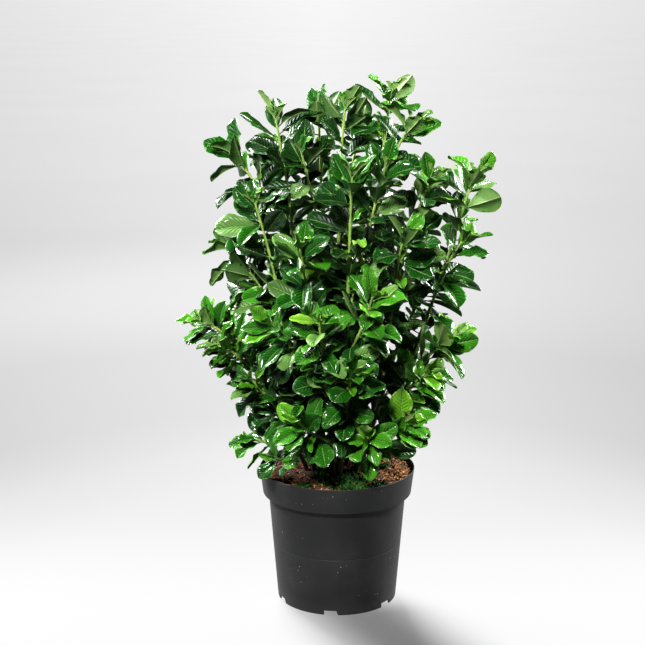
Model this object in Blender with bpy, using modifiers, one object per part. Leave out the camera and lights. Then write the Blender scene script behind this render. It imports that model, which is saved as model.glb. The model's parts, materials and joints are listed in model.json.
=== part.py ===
"""Potted cherry laurel: a bushy evergreen shrub with glossy leaves in a round nursery pot.

Metres, +Z up. The origin is on the pot's axis, at the ground that the pot stands on.
The front of the plant looks along -Y.
"""

import math
import random
from typing import NamedTuple

import bmesh
import bpy
from mathutils import Matrix, Vector
from mathutils.bvhtree import BVHTree

# The shoots' tips are given in millimetres
MILLIMETRE = 0.001

# Driving sizes of the nursery pot
POT_HEIGHT = 0.245
RIM_RADIUS = 0.140
COLLAR_FOOT_RADIUS = 0.1345
COLLAR_DEPTH = 0.046
COLLAR_ROUND = 0.0015
BODY_TOP_RADIUS = 0.1243
BASE_RADIUS = 0.1080
WALL = 0.0022
FOOT_HEIGHT = 0.009
FLOOR_THICKNESS = 0.0025
CENTRE_RADIUS = 0.058
CENTRE_RISE_WIDTH = 0.006
POT_SIDES = 32

# Drain openings of the pot
NOTCH_COUNT = 6
NOTCH_FIRST_ANGLE = -95.0
NOTCH_WIDTH = 0.029
NOTCH_SLOPE = 0.007
NOTCH_HEIGHT = 0.0085
DRAIN_RING_RADIUS = 0.083
DRAIN_HOLE_RADIUS = 0.006
DRAIN_SIDES = 8

# Soil
GAP = 0.0003
SOIL_LEVEL = 0.238
SOIL_RINGS = (0.100, 0.055)
SOIL_RELIEF = 0.0016
SOIL_MOUND = 0.004
SOIL_LEFT_DIP = 0.004

# Stems
STEM_RADIUS = 0.0042
STEM_TIP_RADIUS = 0.0014
TWIG_RADIUS = 0.0022
STEM_SIDES = 4
HOLE_DEPTH = 0.030
HOLE_SIDES = 6
HOLE_CLEARANCE = 0.0013
FOOT_SPREAD = 0.18
FOOT_SHIFT = 0.030
TALLEST = 0.95
STRAIGHT_FOOT = 0.006
STEM_STEPS = 6
TWIG_STEPS = 4
FOOT_RISE = 0.10
RISE_REACH = 0.38
APPROACH_REACH = 0.36
TWIG_REACH = 0.34
FORK_LEAN = 0.5

# Leaves
LEAF_LENGTH = 0.075
LEAF_RATIO = 0.57
OUTLINE_LEAN = 1.28
OUTLINE_FULLNESS = 0.62
INTERNODE = 0.024
TIP_INTERNODE = 0.009
TIP_LEAVES = 4
FIRST_LEAF = 0.004
ORDER_CHANCE = 0.2
GOLDEN_ANGLE = 137.5
TURN_CHANCE = 12.0
TURN_RETRY = 14.0
YOUNG_PITCH = 22.0
OLD_PITCH = 54.0
PITCH_LEAVES = 5
PITCH_START = 0.4
PITCH_CHANCE = 9.0
PITCH_RETRY = 3.0
PETIOLE_END = 0.12
PETIOLE_HALF_WIDTH = 0.0010
BLADE_STATIONS = (0.42, 0.83)
RIB_THICKNESS = 0.0015
FOLD_RANGE = (8.0, 30.0)
BENDS = (-22.0, 8.0, 18.0, 30.0, 42.0)
BEND_RANGE = (0.8, 1.2)
WAVE = 0.0012
TIP_LIFT = 0.05
OUTWARD_PULL = 0.7
SWAY = 0.42
FLATTEN_RANGE = (0.1, 0.9)
TURNED_OVER = 0.16
TURNED_TRUST = (-0.2, 0.25)
TRUST_RANGE = (0.55, 1.0)
TIP_SHARE = 0.66
GROWN_LEAVES = 4
LENGTH_RANGE = (0.86, 1.12)
WIDTH_RANGE = (0.84, 1.08)
RETRY_SHRINK = 0.975
FRONT_LIGHT = 0.7
SUNNY_DEPTH = 0.20
SUNNY_MIDDLE = 0.5
SKY_LIGHT = 0.8
OUTWARD_LIGHT = 3.0
CLEARANCE = 0.0005
RIM_MARGIN = 0.008
RIM_LIFT = 0.004
TRIES = 10
SEED = 41


class Shoot(NamedTuple):
    """A leafy shoot: where it ends, in millimetres, how it leans out there, and its leaves."""

    tip: tuple
    lean: float
    leaves: int
    fork: float = 0.0
    size: float = 1.0


# Each stem's first shoot is its leader. A twig leaves the leader at the fork, a share of its length.
STEMS = {
    "stem_top_left": (
        Shoot((-106, -30, 872), 0.2, 13, size=1.15),
        Shoot((-178, 10, 808), 0.7, 7, 0.62, 1.12),
    ),
    "stem_upper_left": (
        Shoot((-140, -92, 738), 0.35, 12),
        Shoot((-168, -20, 622), 0.9, 5, 0.55, 1.05),
    ),
    "stem_left_spray": (
        Shoot((-240, -30, 522), 2.2, 8, size=0.92),
        Shoot((-206, -56, 482), 2.0, 5, 0.6, 0.85),
    ),
    "stem_top_middle": (
        Shoot((-34, 50, 878), 0.1, 11),
        Shoot((-62, -66, 822), 0.3, 7, 0.62),
    ),
    "stem_top_centre": (
        Shoot((12, 0, 889), 0.1, 12),
        Shoot((40, 84, 850), 0.5, 6, 0.6),
    ),
    "stem_top_right": (
        Shoot((92, 20, 915), 0.15, 14),
        Shoot((124, -24, 862), 0.7, 8, 0.66),
    ),
    "stem_right": (
        Shoot((238, 20, 770), 0.3, 12, size=1.12),
        Shoot((220, -24, 666), 0.8, 9, 0.6),
    ),
    "stem_right_centre": (
        Shoot((158, -52, 776), 0.45, 11),
        Shoot((112, -130, 690), 0.5, 7, 0.6),
    ),
    "stem_front_long": (
        Shoot((22, -148, 790), 0.2, 13),
        Shoot((78, -112, 802), 0.4, 7, 0.55),
    ),
    "stem_front_left": (
        Shoot((-64, -150, 672), 0.4, 10, size=0.95),
        Shoot((-112, -150, 545), 1.0, 7, 0.45, 0.92),
    ),
    "stem_front_middle": (
        Shoot((-32, -196, 556), 0.6, 9, size=0.9),
        Shoot((56, -196, 600), 0.6, 7, 0.5, 0.95),
    ),
    "stem_front_low": (
        Shoot((20, -190, 466), 0.7, 10, size=0.88),
        Shoot((-66, -160, 372), 1.2, 6, 0.3, 0.9),
    ),
    "stem_right_low": (
        Shoot((200, -40, 494), 1.3, 8, size=1.08),
        Shoot((150, -106, 444), 1.2, 6, 0.5, 0.92),
    ),
    "stem_low_left": (
        Shoot((-150, -70, 424), 0.9, 8, size=0.92),
        Shoot((-150, -40, 306), 2.2, 5, 0.35, 0.88),
        Shoot((-108, -108, 292), 1.9, 5, 0.3, 0.8),
    ),
    "stem_low_right": (
        Shoot((120, -112, 364), 1.0, 8, size=0.95),
        Shoot((52, -150, 344), 1.4, 5, 0.4, 0.85),
    ),
    "stem_back_left": (
        Shoot((-118, 88, 800), 0.4, 11),
        Shoot((-196, 84, 640), 1.0, 7, 0.5),
    ),
    "stem_back": (
        Shoot((-30, 140, 770), 0.4, 11),
        Shoot((-84, 168, 650), 0.8, 7, 0.5),
    ),
    "stem_back_right": (
        Shoot((84, 116, 826), 0.4, 11),
        Shoot((168, 108, 720), 0.9, 7, 0.55),
    ),
    "stem_back_middle": (
        Shoot((66, 176, 610), 0.7, 9),
        Shoot((6, 196, 480), 1.0, 7, 0.45),
    ),
    "stem_back_low_left": (
        Shoot((-168, 70, 474), 1.0, 8),
        Shoot((-100, 140, 390), 1.2, 6, 0.35),
    ),
    "stem_back_low_right": (
        Shoot((170, 84, 560), 0.9, 8),
        Shoot((124, 128, 390), 1.3, 6, 0.35),
    ),
}


def clear_scene():
    """Removes everything that the start-up scene holds."""
    for obj in list(bpy.data.objects):
        bpy.data.objects.remove(obj, do_unlink=True)


def new_collection(name, cutters=False):
    """A collection in the scene; one for cutters is left out of renders."""
    collection = bpy.data.collections.new(name)
    bpy.context.scene.collection.children.link(collection)
    collection.hide_render = cutters
    return collection


def new_material(name, colour, roughness, metallic=0.0):
    """A plain Principled material."""
    material = bpy.data.materials.new(name)
    material.use_nodes = True
    shader = material.node_tree.nodes["Principled BSDF"]
    shader.inputs["Base Color"].default_value = (*colour, 1.0)
    shader.inputs["Roughness"].default_value = roughness
    shader.inputs["Metallic"].default_value = metallic
    material.diffuse_color = (*colour, 1.0)
    return material


def new_object(name, mesh, collection, material=None):
    """An object for the mesh, linked to its collection."""
    obj = bpy.data.objects.new(name, mesh)
    collection.objects.link(obj)
    if material:
        mesh.materials.append(material)
    return obj


def baked(obj):
    """Puts the evaluated mesh in place of the object's mesh and modifiers."""
    graph = bpy.context.evaluated_depsgraph_get()
    mesh = bpy.data.meshes.new_from_object(obj.evaluated_get(graph))
    obj.modifiers.clear()
    obj.data = mesh
    return obj


def turned(name, profile, sides, collection, material):
    """A solid turned about Z from a profile of (radius, height) that runs down its outer side."""
    mesh = bpy.data.meshes.new(name)
    points = [(radius, 0.0, height) for radius, height in profile]
    edges = [(i, i + 1) for i in range(len(points) - 1)]
    mesh.from_pydata(points, edges, [])
    obj = new_object(name, mesh, collection, material)
    screw = obj.modifiers.new("Turn", "SCREW")
    screw.axis = "Z"
    screw.steps = sides
    screw.render_steps = sides
    screw.use_merge_vertices = True
    screw.merge_threshold = 0.0001
    return baked(obj)


def as_cutter(obj):
    """Marks an object as a cutting tool."""
    obj.hide_render = True
    obj.display_type = "WIRE"
    return obj


def cut_with(obj, cutters, name):
    """Cuts every solid of a collection out of the object."""
    boolean = obj.modifiers.new(name, "BOOLEAN")
    boolean.operation = "DIFFERENCE"
    boolean.operand_type = "COLLECTION"
    boolean.collection = cutters
    boolean.solver = "EXACT"
    return obj


def on_ring(radius, degrees, height):
    """The point at a radius and an angle about the pot's axis."""
    angle = math.radians(degrees)
    return Vector((radius * math.cos(angle), radius * math.sin(angle), height))


def body_radius(height):
    """Outer radius of the pot's tapered wall at a height."""
    share = height / (POT_HEIGHT - COLLAR_DEPTH)
    return BASE_RADIUS + (BODY_TOP_RADIUS - BASE_RADIUS) * share


def pot_profile():
    """The pot's section, from the middle of its floor up the inside and down the outside."""
    floor = FOOT_HEIGHT + FLOOR_THICKNESS
    collar_foot = POT_HEIGHT - COLLAR_DEPTH
    rise_radius = CENTRE_RADIUS + CENTRE_RISE_WIDTH
    return [
        (0.0, FLOOR_THICKNESS),
        (CENTRE_RADIUS - WALL, FLOOR_THICKNESS),
        (rise_radius - WALL, floor),
        (body_radius(floor) - WALL, floor),
        (BODY_TOP_RADIUS - WALL, collar_foot + WALL),
        (COLLAR_FOOT_RADIUS - WALL, collar_foot + WALL),
        (RIM_RADIUS - WALL, POT_HEIGHT - WALL / 2),
        (RIM_RADIUS - WALL * 0.75, POT_HEIGHT),
        (RIM_RADIUS - WALL * 0.2, POT_HEIGHT),
        (RIM_RADIUS, POT_HEIGHT - WALL / 2),
        (COLLAR_FOOT_RADIUS, collar_foot + COLLAR_ROUND),
        (COLLAR_FOOT_RADIUS - COLLAR_ROUND, collar_foot),
        (BODY_TOP_RADIUS, collar_foot),
        (BASE_RADIUS, 0.0),
        (BASE_RADIUS - WALL, 0.0),
        (BASE_RADIUS - WALL, FOOT_HEIGHT),
        (rise_radius, FOOT_HEIGHT),
        (CENTRE_RADIUS, 0.0),
        (0.0, 0.0),
    ]


def add_notch_cutter(number, collection):
    """A block that cuts one drain notch, with one sloping side, into the foot edge."""
    depth = 8 * WALL
    tool = bmesh.new()
    bmesh.ops.create_cube(tool, size=1.0)
    for vertex in tool.verts:
        slope = NOTCH_SLOPE if vertex.co.y > 0 and vertex.co.z > 0 else 0.0
        vertex.co.x *= depth
        vertex.co.y = vertex.co.y * NOTCH_WIDTH - slope
        vertex.co.z = (vertex.co.z - 0.5) * 2 * NOTCH_HEIGHT + NOTCH_HEIGHT
    mesh = bpy.data.meshes.new(f"notch_cutter_{number}")
    tool.to_mesh(mesh)
    tool.free()
    obj = as_cutter(new_object(mesh.name, mesh, collection))
    angle = NOTCH_FIRST_ANGLE + number * 360 / NOTCH_COUNT
    obj.location = on_ring(BASE_RADIUS, angle, 0.0)
    obj.rotation_euler.z = math.radians(angle)


def add_hole_cutter(name, centre, radius, height, sides, collection):
    """An upright round cutter about a centre."""
    tool = bmesh.new()
    bmesh.ops.create_cone(
        tool,
        cap_ends=True,
        segments=sides,
        radius1=radius,
        radius2=radius,
        depth=height,
        matrix=Matrix.Translation(centre),
    )
    mesh = bpy.data.meshes.new(name)
    tool.to_mesh(mesh)
    tool.free()
    as_cutter(new_object(name, mesh, collection))


def build_pot(parts):
    """The moulded pot with its drain notches and drain holes."""
    plastic = new_material("pot_plastic", (0.045, 0.047, 0.050), 0.48)
    pot = turned("nursery_pot", pot_profile(), POT_SIDES, parts, plastic)
    tools = new_collection("pot_cutters", cutters=True)
    for number in range(NOTCH_COUNT):
        add_notch_cutter(number, tools)
        angle = NOTCH_FIRST_ANGLE + (number + 0.5) * 360 / NOTCH_COUNT
        centre = on_ring(DRAIN_RING_RADIUS, angle, FOOT_HEIGHT)
        add_hole_cutter(
            f"drain_cutter_{number}", centre, DRAIN_HOLE_RADIUS, 4 * FLOOR_THICKNESS, DRAIN_SIDES, tools
        )
    cut_with(pot, tools, "Drain openings")
    pot.data.shade_smooth()
    pot.data.set_sharp_from_angle(angle=math.radians(30))


def soil_height(x, y):
    """Level of the soil's top at a place, with its low mound, its dip at the left and its lumps."""
    reach = math.hypot(x, y) / RIM_RADIUS
    mound = SOIL_MOUND * (1.0 - reach)
    dip = SOIL_LEFT_DIP * max(0.0, -x / RIM_RADIUS)
    lumps = SOIL_RELIEF * math.sin(70 * x + 1.0) * math.cos(60 * y - 0.6)
    return SOIL_LEVEL + mound - dip + lumps


def soil_profile():
    """The soil's section: its top, then its side along the inside of the pot, then its underside."""
    floor = FOOT_HEIGHT + FLOOR_THICKNESS + GAP
    inner = WALL + GAP
    rise_radius = CENTRE_RADIUS + CENTRE_RISE_WIDTH
    ledge = POT_HEIGHT - COLLAR_DEPTH + WALL + GAP
    level_share = (SOIL_LEVEL - ledge) / COLLAR_DEPTH
    top_radius = COLLAR_FOOT_RADIUS + (RIM_RADIUS - COLLAR_FOOT_RADIUS) * level_share - inner - GAP
    return [
        (0.0, SOIL_LEVEL),
        *[(radius, SOIL_LEVEL) for radius in reversed(SOIL_RINGS)],
        (top_radius, SOIL_LEVEL),
        (COLLAR_FOOT_RADIUS - inner - GAP, ledge),
        (BODY_TOP_RADIUS - inner - GAP, ledge),
        (body_radius(floor) - inner - GAP, floor),
        (rise_radius - inner, floor),
        (CENTRE_RADIUS - inner, FLOOR_THICKNESS + GAP),
        (0.0, FLOOR_THICKNESS + GAP),
    ]


def build_soil(parts, feet):
    """The potting soil, with a plain hole for each stem."""
    mix = new_material("potting_soil", (0.075, 0.038, 0.022), 0.92)
    soil = turned("potting_soil", soil_profile(), POT_SIDES, parts, mix)
    for vertex in soil.data.vertices:
        if vertex.co.z > SOIL_LEVEL - GAP:
            vertex.co.z = soil_height(vertex.co.x, vertex.co.y)
    tools = new_collection("soil_cutters", cutters=True)
    for number, foot in enumerate(feet):
        centre = Vector((foot.x, foot.y, SOIL_LEVEL))
        radius = STEM_RADIUS + HOLE_CLEARANCE
        add_hole_cutter(f"hole_cutter_{number}", centre, radius, 2 * HOLE_DEPTH, HOLE_SIDES, tools)
    cut_with(soil, tools, "Stem holes")
    soil.data.shade_smooth()
    soil.data.set_sharp_from_angle(angle=math.radians(40))


def bezier(start, rise, approach, end, steps):
    """Points along a cubic curve."""
    points = []
    for i in range(steps + 1):
        t = i / steps
        s = 1.0 - t
        points.append(
            start * s**3 + rise * 3 * s * s * t + approach * 3 * s * t * t + end * t**3
        )
    return points


def tip_heading(shoot):
    """Direction of a shoot at its tip: up, and leaning out from the pot's axis."""
    outward = Vector((shoot.tip[0], shoot.tip[1], 0.0)).normalized()
    return (outward * shoot.lean + Vector((0.0, 0.0, 1.0))).normalized()


def stem_foot(leader):
    """Where a stem leaves the soil: towards its tip, and further out where the stem is low."""
    outward = Vector((leader.tip[0], leader.tip[1], 0.0)) * MILLIMETRE
    shift = FOOT_SHIFT * (1.0 - leader.tip[2] * MILLIMETRE / TALLEST)
    return outward * FOOT_SPREAD + outward.normalized() * shift


def leader_route(leader):
    """Points of a leader: straight out of its hole, then up and out to its tip."""
    foot = stem_foot(leader)
    level = soil_height(foot.x, foot.y)
    bottom = Vector((foot.x, foot.y, SOIL_LEVEL - HOLE_DEPTH + GAP))
    start = Vector((foot.x, foot.y, level + STRAIGHT_FOOT))
    tip = Vector(leader.tip) * MILLIMETRE
    reach = (tip - start).length
    rise = start + Vector((foot.x, foot.y, FOOT_RISE)).normalized() * reach * RISE_REACH
    approach = tip - tip_heading(leader) * reach * APPROACH_REACH
    return [bottom, *bezier(start, rise, approach, tip, STEM_STEPS)]


def along(route, distance):
    """The point and direction at a distance along a route."""
    for a, b in zip(route, route[1:]):
        span = (b - a).length
        if distance <= span or b is route[-1]:
            return a.lerp(b, max(0.0, distance / span)), (b - a) / span
        distance -= span
    raise ValueError("route has no length")


def route_length(route):
    """Length of a route."""
    return sum((b - a).length for a, b in zip(route, route[1:]))


def twig_route(shoot, leader):
    """Points of a side twig, from the leader's axis to the twig's tip."""
    start, direction = along(leader, route_length(leader) * shoot.fork)
    tip = Vector(shoot.tip) * MILLIMETRE
    reach = (tip - start).length
    outward = (tip - start).normalized()
    rise = start + (direction * FORK_LEAN + outward).normalized() * reach * TWIG_REACH
    approach = tip - tip_heading(shoot) * reach * TWIG_REACH
    return bezier(start, rise, approach, tip, TWIG_STEPS)


def radius_at(route, distance, thick):
    """Radius of a stem at a distance along its route, tapering to its tip."""
    share = distance / route_length(route)
    return thick + (STEM_TIP_RADIUS - thick) * share


def add_tube(name, route, thick, collection):
    """A tapering stem as a mesh, swept along its route."""
    curve = bpy.data.curves.new(name, "CURVE")
    curve.dimensions = "3D"
    curve.bevel_depth = 1.0
    curve.bevel_resolution = (STEM_SIDES - 4) // 2
    curve.use_fill_caps = True
    spline = curve.splines.new("POLY")
    spline.points.add(len(route) - 1)
    distance = 0.0
    for i, point in enumerate(route):
        distance += (point - route[i - 1]).length if i else 0.0
        spline.points[i].co = (*point, 1.0)
        spline.points[i].radius = radius_at(route, distance, thick)
    guide = bpy.data.objects.new(name, curve)
    collection.objects.link(guide)
    graph = bpy.context.evaluated_depsgraph_get()
    mesh = bpy.data.meshes.new_from_object(guide.evaluated_get(graph))
    bpy.data.objects.remove(guide, do_unlink=True)
    bpy.data.curves.remove(curve)
    tool = bmesh.new()
    tool.from_mesh(mesh)
    bmesh.ops.remove_doubles(tool, verts=tool.verts, dist=0.00001)
    bmesh.ops.recalc_face_normals(tool, faces=tool.faces)
    bmesh.ops.triangulate(tool, faces=tool.faces)
    tool.to_mesh(mesh)
    tool.free()
    return new_object(name, mesh, collection)


class Leaf(NamedTuple):
    """One leaf: its root in the stem, its heading, its top side and its sizes."""

    root: Vector
    heading: Vector
    top: Vector
    length: float
    width: float
    droop: float
    wave: float
    fold: float


def outline(share):
    """Half width of the blade, as a share of its greatest, at a share of its length."""
    return math.sin(math.pi * share**OUTLINE_LEAN) ** OUTLINE_FULLNESS


def leaf_section(leaf, share):
    """Centre, side direction and top direction of the leaf at a share of its length."""
    side = leaf.heading.cross(leaf.top).normalized()
    top = side.cross(leaf.heading)
    bend = leaf.droop * share
    ahead = math.sin(bend) / leaf.droop
    down = (1.0 - math.cos(bend)) / leaf.droop
    centre = leaf.root + (leaf.heading * ahead - top * down) * leaf.length
    return centre, side, top * math.cos(bend) + leaf.heading * math.sin(bend)


def leaf_shape(leaf, margin=0.0, petiole=True):
    """Points and triangles of a leaf: a stalk, and a blade folded along its rib."""
    points = []
    rings = []
    stations = [PETIOLE_END, *BLADE_STATIONS]
    for number, share in enumerate(stations):
        centre, side, top = leaf_section(leaf, share)
        if number:
            blade_share = (share - PETIOLE_END) / (1.0 - PETIOLE_END)
            half = leaf.width / 2 * outline(blade_share) + margin
        else:
            half = PETIOLE_HALF_WIDTH + margin
        wave = leaf.wave * (number - 1) * 2 if number else 0.0
        across = side * half * math.cos(leaf.fold)
        lift = top * half * math.sin(leaf.fold)
        rib = top * (RIB_THICKNESS / 2 + margin)
        rings.append(len(points))
        points += [
            centre - across + lift + top * wave,
            centre + rib,
            centre + across + lift - top * wave,
            centre - rib,
        ]
    tip, _, tip_top = leaf_section(leaf, 1.0 + margin / leaf.length)
    points.append(tip + tip_top * leaf.width * TIP_LIFT)
    faces = []
    for near, far in zip(rings, rings[1:]):
        faces += [
            (near, far, near + 1),
            (near + 1, far, far + 1),
            (near + 1, far + 1, near + 2),
            (near + 2, far + 1, far + 2),
            (near + 3, far, near),
            (near + 3, far + 3, far),
            (near + 2, far + 3, near + 3),
            (near + 2, far + 2, far + 3),
        ]
    last = rings[-1]
    end = len(points) - 1
    for i in range(4):
        faces.append((last + i, end, last + (i + 1) % 4))
    if petiole:
        start = len(points)
        points.append(leaf.root - leaf.heading * PETIOLE_HALF_WIDTH)
        for i in range(4):
            faces.append((start, i, (i + 1) % 4))
    else:
        faces += [(0, 1, 2), (0, 2, 3)]
    return points, faces


def light_direction(place):
    """Where a leaf at a place turns its top side: up, out of the bush, and to the sunny front."""
    outward = Vector((place.x, place.y, 0.0))
    sunny = FRONT_LIGHT * min(1.0, max(0.0, SUNNY_MIDDLE - place.y / SUNNY_DEPTH))
    return (Vector((0.0, -sunny, SKY_LIGHT)) + outward * OUTWARD_LIGHT).normalized()


def leaf_try(shoot, route, number, start_angle, rng, attempt):
    """One try at the leaf that stands at a place in its shoot's order."""
    crowded = min(number, TIP_LEAVES)
    distance = FIRST_LEAF + crowded * TIP_INTERNODE
    chance = rng.uniform(-ORDER_CHANCE, ORDER_CHANCE)
    distance += INTERNODE * max(0.0, number - crowded + chance)
    root, direction = along(route, route_length(route) - distance)
    spread = (number + PITCH_START) / PITCH_LEAVES
    pitch = YOUNG_PITCH + (OLD_PITCH - YOUNG_PITCH) * min(1.0, spread)
    pitch += rng.uniform(-PITCH_CHANCE, PITCH_CHANCE)
    pitch = math.radians(pitch + attempt * rng.uniform(-PITCH_RETRY, PITCH_RETRY))
    angle = start_angle + number * GOLDEN_ANGLE + rng.uniform(-TURN_CHANCE, TURN_CHANCE)
    angle += (attempt + 1) // 2 * TURN_RETRY * (-1) ** attempt
    first = direction.cross(Vector((0.0, 1.0, 0.0))).normalized()
    second = direction.cross(first)
    turn = math.radians(angle)
    radial = first * math.cos(turn) + second * math.sin(turn)
    outward = Vector((root.x, root.y, 0.0))
    radial = (radial + outward * OUTWARD_PULL).normalized()
    natural = (direction * math.cos(pitch) + radial * math.sin(pitch)).normalized()
    inner_side = direction * math.sin(pitch) - radial * math.cos(pitch)
    sway = Vector([rng.gauss(0.0, SWAY) for _ in range(3)])
    light = (light_direction(root) + sway).normalized()
    flatten = rng.uniform(*FLATTEN_RANGE)
    heading = (natural - light * natural.dot(light) * flatten).normalized()
    turned = rng.random() < TURNED_OVER
    trust = rng.uniform(*(TURNED_TRUST if turned else TRUST_RANGE))
    top = inner_side * (1.0 - trust) + light * trust
    growth = min(1.0, TIP_SHARE + (1.0 - TIP_SHARE) * (number + 1) / GROWN_LEAVES)
    length = LEAF_LENGTH * shoot.size * growth * rng.uniform(*LENGTH_RANGE)
    length *= RETRY_SHRINK**attempt
    width = length * LEAF_RATIO * rng.uniform(*WIDTH_RANGE)
    droop = math.radians(rng.choice(BENDS) * rng.uniform(*BEND_RANGE))
    wave = WAVE * rng.choice((-1, 1))
    fold = math.radians(rng.uniform(*FOLD_RANGE))
    return Leaf(root, heading, top, length, width, droop, wave, fold)


def clear_of_pot(points):
    """Whether a leaf's points keep above the soil and the rim."""
    limit = RIM_RADIUS + RIM_MARGIN
    for point in points:
        if math.hypot(point.x, point.y) < limit and point.z < POT_HEIGHT + RIM_LIFT:
            return False
    return True


class Space:
    """What is already taken: the stems' tubes and the leaves placed so far."""

    def __init__(self):
        self.taken = []

    def add(self, points, faces):
        """Takes the room of a closed shape."""
        centre = sum(points, Vector()) / len(points)
        reach = max((point - centre).length for point in points)
        self.taken.append((centre, reach, BVHTree.FromPolygons(points, faces)))

    def free(self, points, faces, own=None, own_points=None, own_faces=None):
        """Whether a shape meets nothing; its own stem is met by the blade alone."""
        centre = sum(points, Vector()) / len(points)
        reach = max((point - centre).length for point in points)
        tree = BVHTree.FromPolygons(points, faces)
        for number, (middle, span, other) in enumerate(self.taken):
            if (middle - centre).length > reach + span:
                continue
            if number == own:
                blade = BVHTree.FromPolygons(own_points, own_faces)
                if blade.overlap(other):
                    return False
            elif tree.overlap(other):
                return False
        return True


def tube_room(route, thick):
    """Points and triangles that stand for a stem, with its clearance."""
    points = []
    faces = []
    distance = 0.0
    sides = STEM_SIDES
    for i, point in enumerate(route):
        distance += (point - route[i - 1]).length if i else 0.0
        ahead = route[min(i + 1, len(route) - 1)]
        behind = route[max(i - 1, 0)]
        direction = (ahead - behind).normalized()
        first = direction.cross(Vector((0.0, 1.0, 0.0))).normalized()
        second = direction.cross(first)
        reach = radius_at(route, distance, thick) + CLEARANCE
        for k in range(sides):
            turn = 2 * math.pi * k / sides
            points.append(point + first * reach * math.cos(turn) + second * reach * math.sin(turn))
        if i:
            for k in range(sides):
                a = (i - 1) * sides + k
                b = (i - 1) * sides + (k + 1) % sides
                faces += [(a, b, b + sides), (a, b + sides, a + sides)]
    return points, faces


def grow_leaves(name, number, route, own, space):
    """The leaves of a stem's shoot, from its tip down, each where it meets nothing."""
    shoot = STEMS[name][number]
    start_angle = random.Random(f"{SEED} {name} {number}").uniform(0, 360)
    leaves = []
    for order in range(shoot.leaves):
        rng = random.Random(f"{SEED} {name} {number} {order}")
        for attempt in range(TRIES):
            leaf = leaf_try(shoot, route, order, start_angle, rng, attempt)
            points, faces = leaf_shape(leaf, margin=CLEARANCE)
            if not clear_of_pot(points):
                continue
            blade, blade_faces = leaf_shape(leaf, margin=CLEARANCE, petiole=False)
            if space.free(points, faces, own, blade, blade_faces):
                space.add(points, faces)
                leaves.append(leaf)
                break
    return leaves


def add_leaf(name, leaf, collection, material):
    """A leaf as a closed mesh of its own."""
    points, faces = leaf_shape(leaf)
    mesh = bpy.data.meshes.new(name)
    mesh.from_pydata(points, [], faces)
    return new_object(name, mesh, collection, material)


def build_stem(name, routes, leaves, parts, bark, leaf_green):
    """One stem with its twigs and leaves, joined to one solid."""
    stem = add_tube(name, routes[0], STEM_RADIUS, parts)
    stem.data.materials.append(bark)
    joined = new_collection(f"{name}_growth", cutters=True)
    for number, route in enumerate(routes[1:]):
        twig = add_tube(f"{name}_twig_{number}", route, TWIG_RADIUS, joined)
        twig.data.materials.append(bark)
    for number, leaf in enumerate(leaves):
        add_leaf(f"{name}_leaf_{number}", leaf, joined, leaf_green)
    union = stem.modifiers.new("Growth", "BOOLEAN")
    union.operation = "UNION"
    union.operand_type = "COLLECTION"
    union.collection = joined
    union.solver = "EXACT"
    union.material_mode = "TRANSFER"
    baked(stem)
    for obj in list(joined.objects):
        bpy.data.objects.remove(obj, do_unlink=True)
    bpy.data.collections.remove(joined)


def build_stems(parts):
    """Every leafy stem; the leaves of one keep clear of all the others."""
    bark = new_material("stem_bark", (0.16, 0.17, 0.05), 0.7)
    leaf_green = new_material("laurel_leaf", (0.030, 0.135, 0.016), 0.28)
    space = Space()
    routes = {}
    tubes = {}
    for name, shoots in STEMS.items():
        leader = leader_route(shoots[0])
        routes[name] = [leader, *[twig_route(shoot, leader) for shoot in shoots[1:]]]
        tubes[name] = []
        for route in routes[name]:
            thick = STEM_RADIUS if route is leader else TWIG_RADIUS
            tubes[name].append(len(space.taken))
            space.add(*tube_room(route, thick))
    for name in STEMS:
        leaves = []
        for number, (route, own) in enumerate(zip(routes[name], tubes[name])):
            leaves += grow_leaves(name, number, route, own, space)
        build_stem(name, routes[name], leaves, parts, bark, leaf_green)


def main():
    """Builds the whole potted plant."""
    clear_scene()
    parts = new_collection("potted_cherry_laurel")
    build_pot(parts)
    build_soil(parts, [stem_foot(shoots[0]) for shoots in STEMS.values()])
    build_stems(parts)


main()
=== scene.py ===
"""Finished looks of the potted cherry laurel: a glossy evergreen shrub in a dark nursery pot.

Metres, +Z up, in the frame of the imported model. The origin is on the pot's axis, at the ground,
and the front of the plant looks along -Y.
"""

import json
import logging
import math
import random
from collections.abc import Callable, Iterator, Sequence
from dataclasses import dataclass, field, replace
from enum import Enum

import bmesh
import bpy
import numpy as np
from bpy.types import Collection, Material, Mesh, Node, NodeSocket, Object
from mathutils import Matrix, Vector, noise
from mathutils.bvhtree import BVHTree

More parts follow.
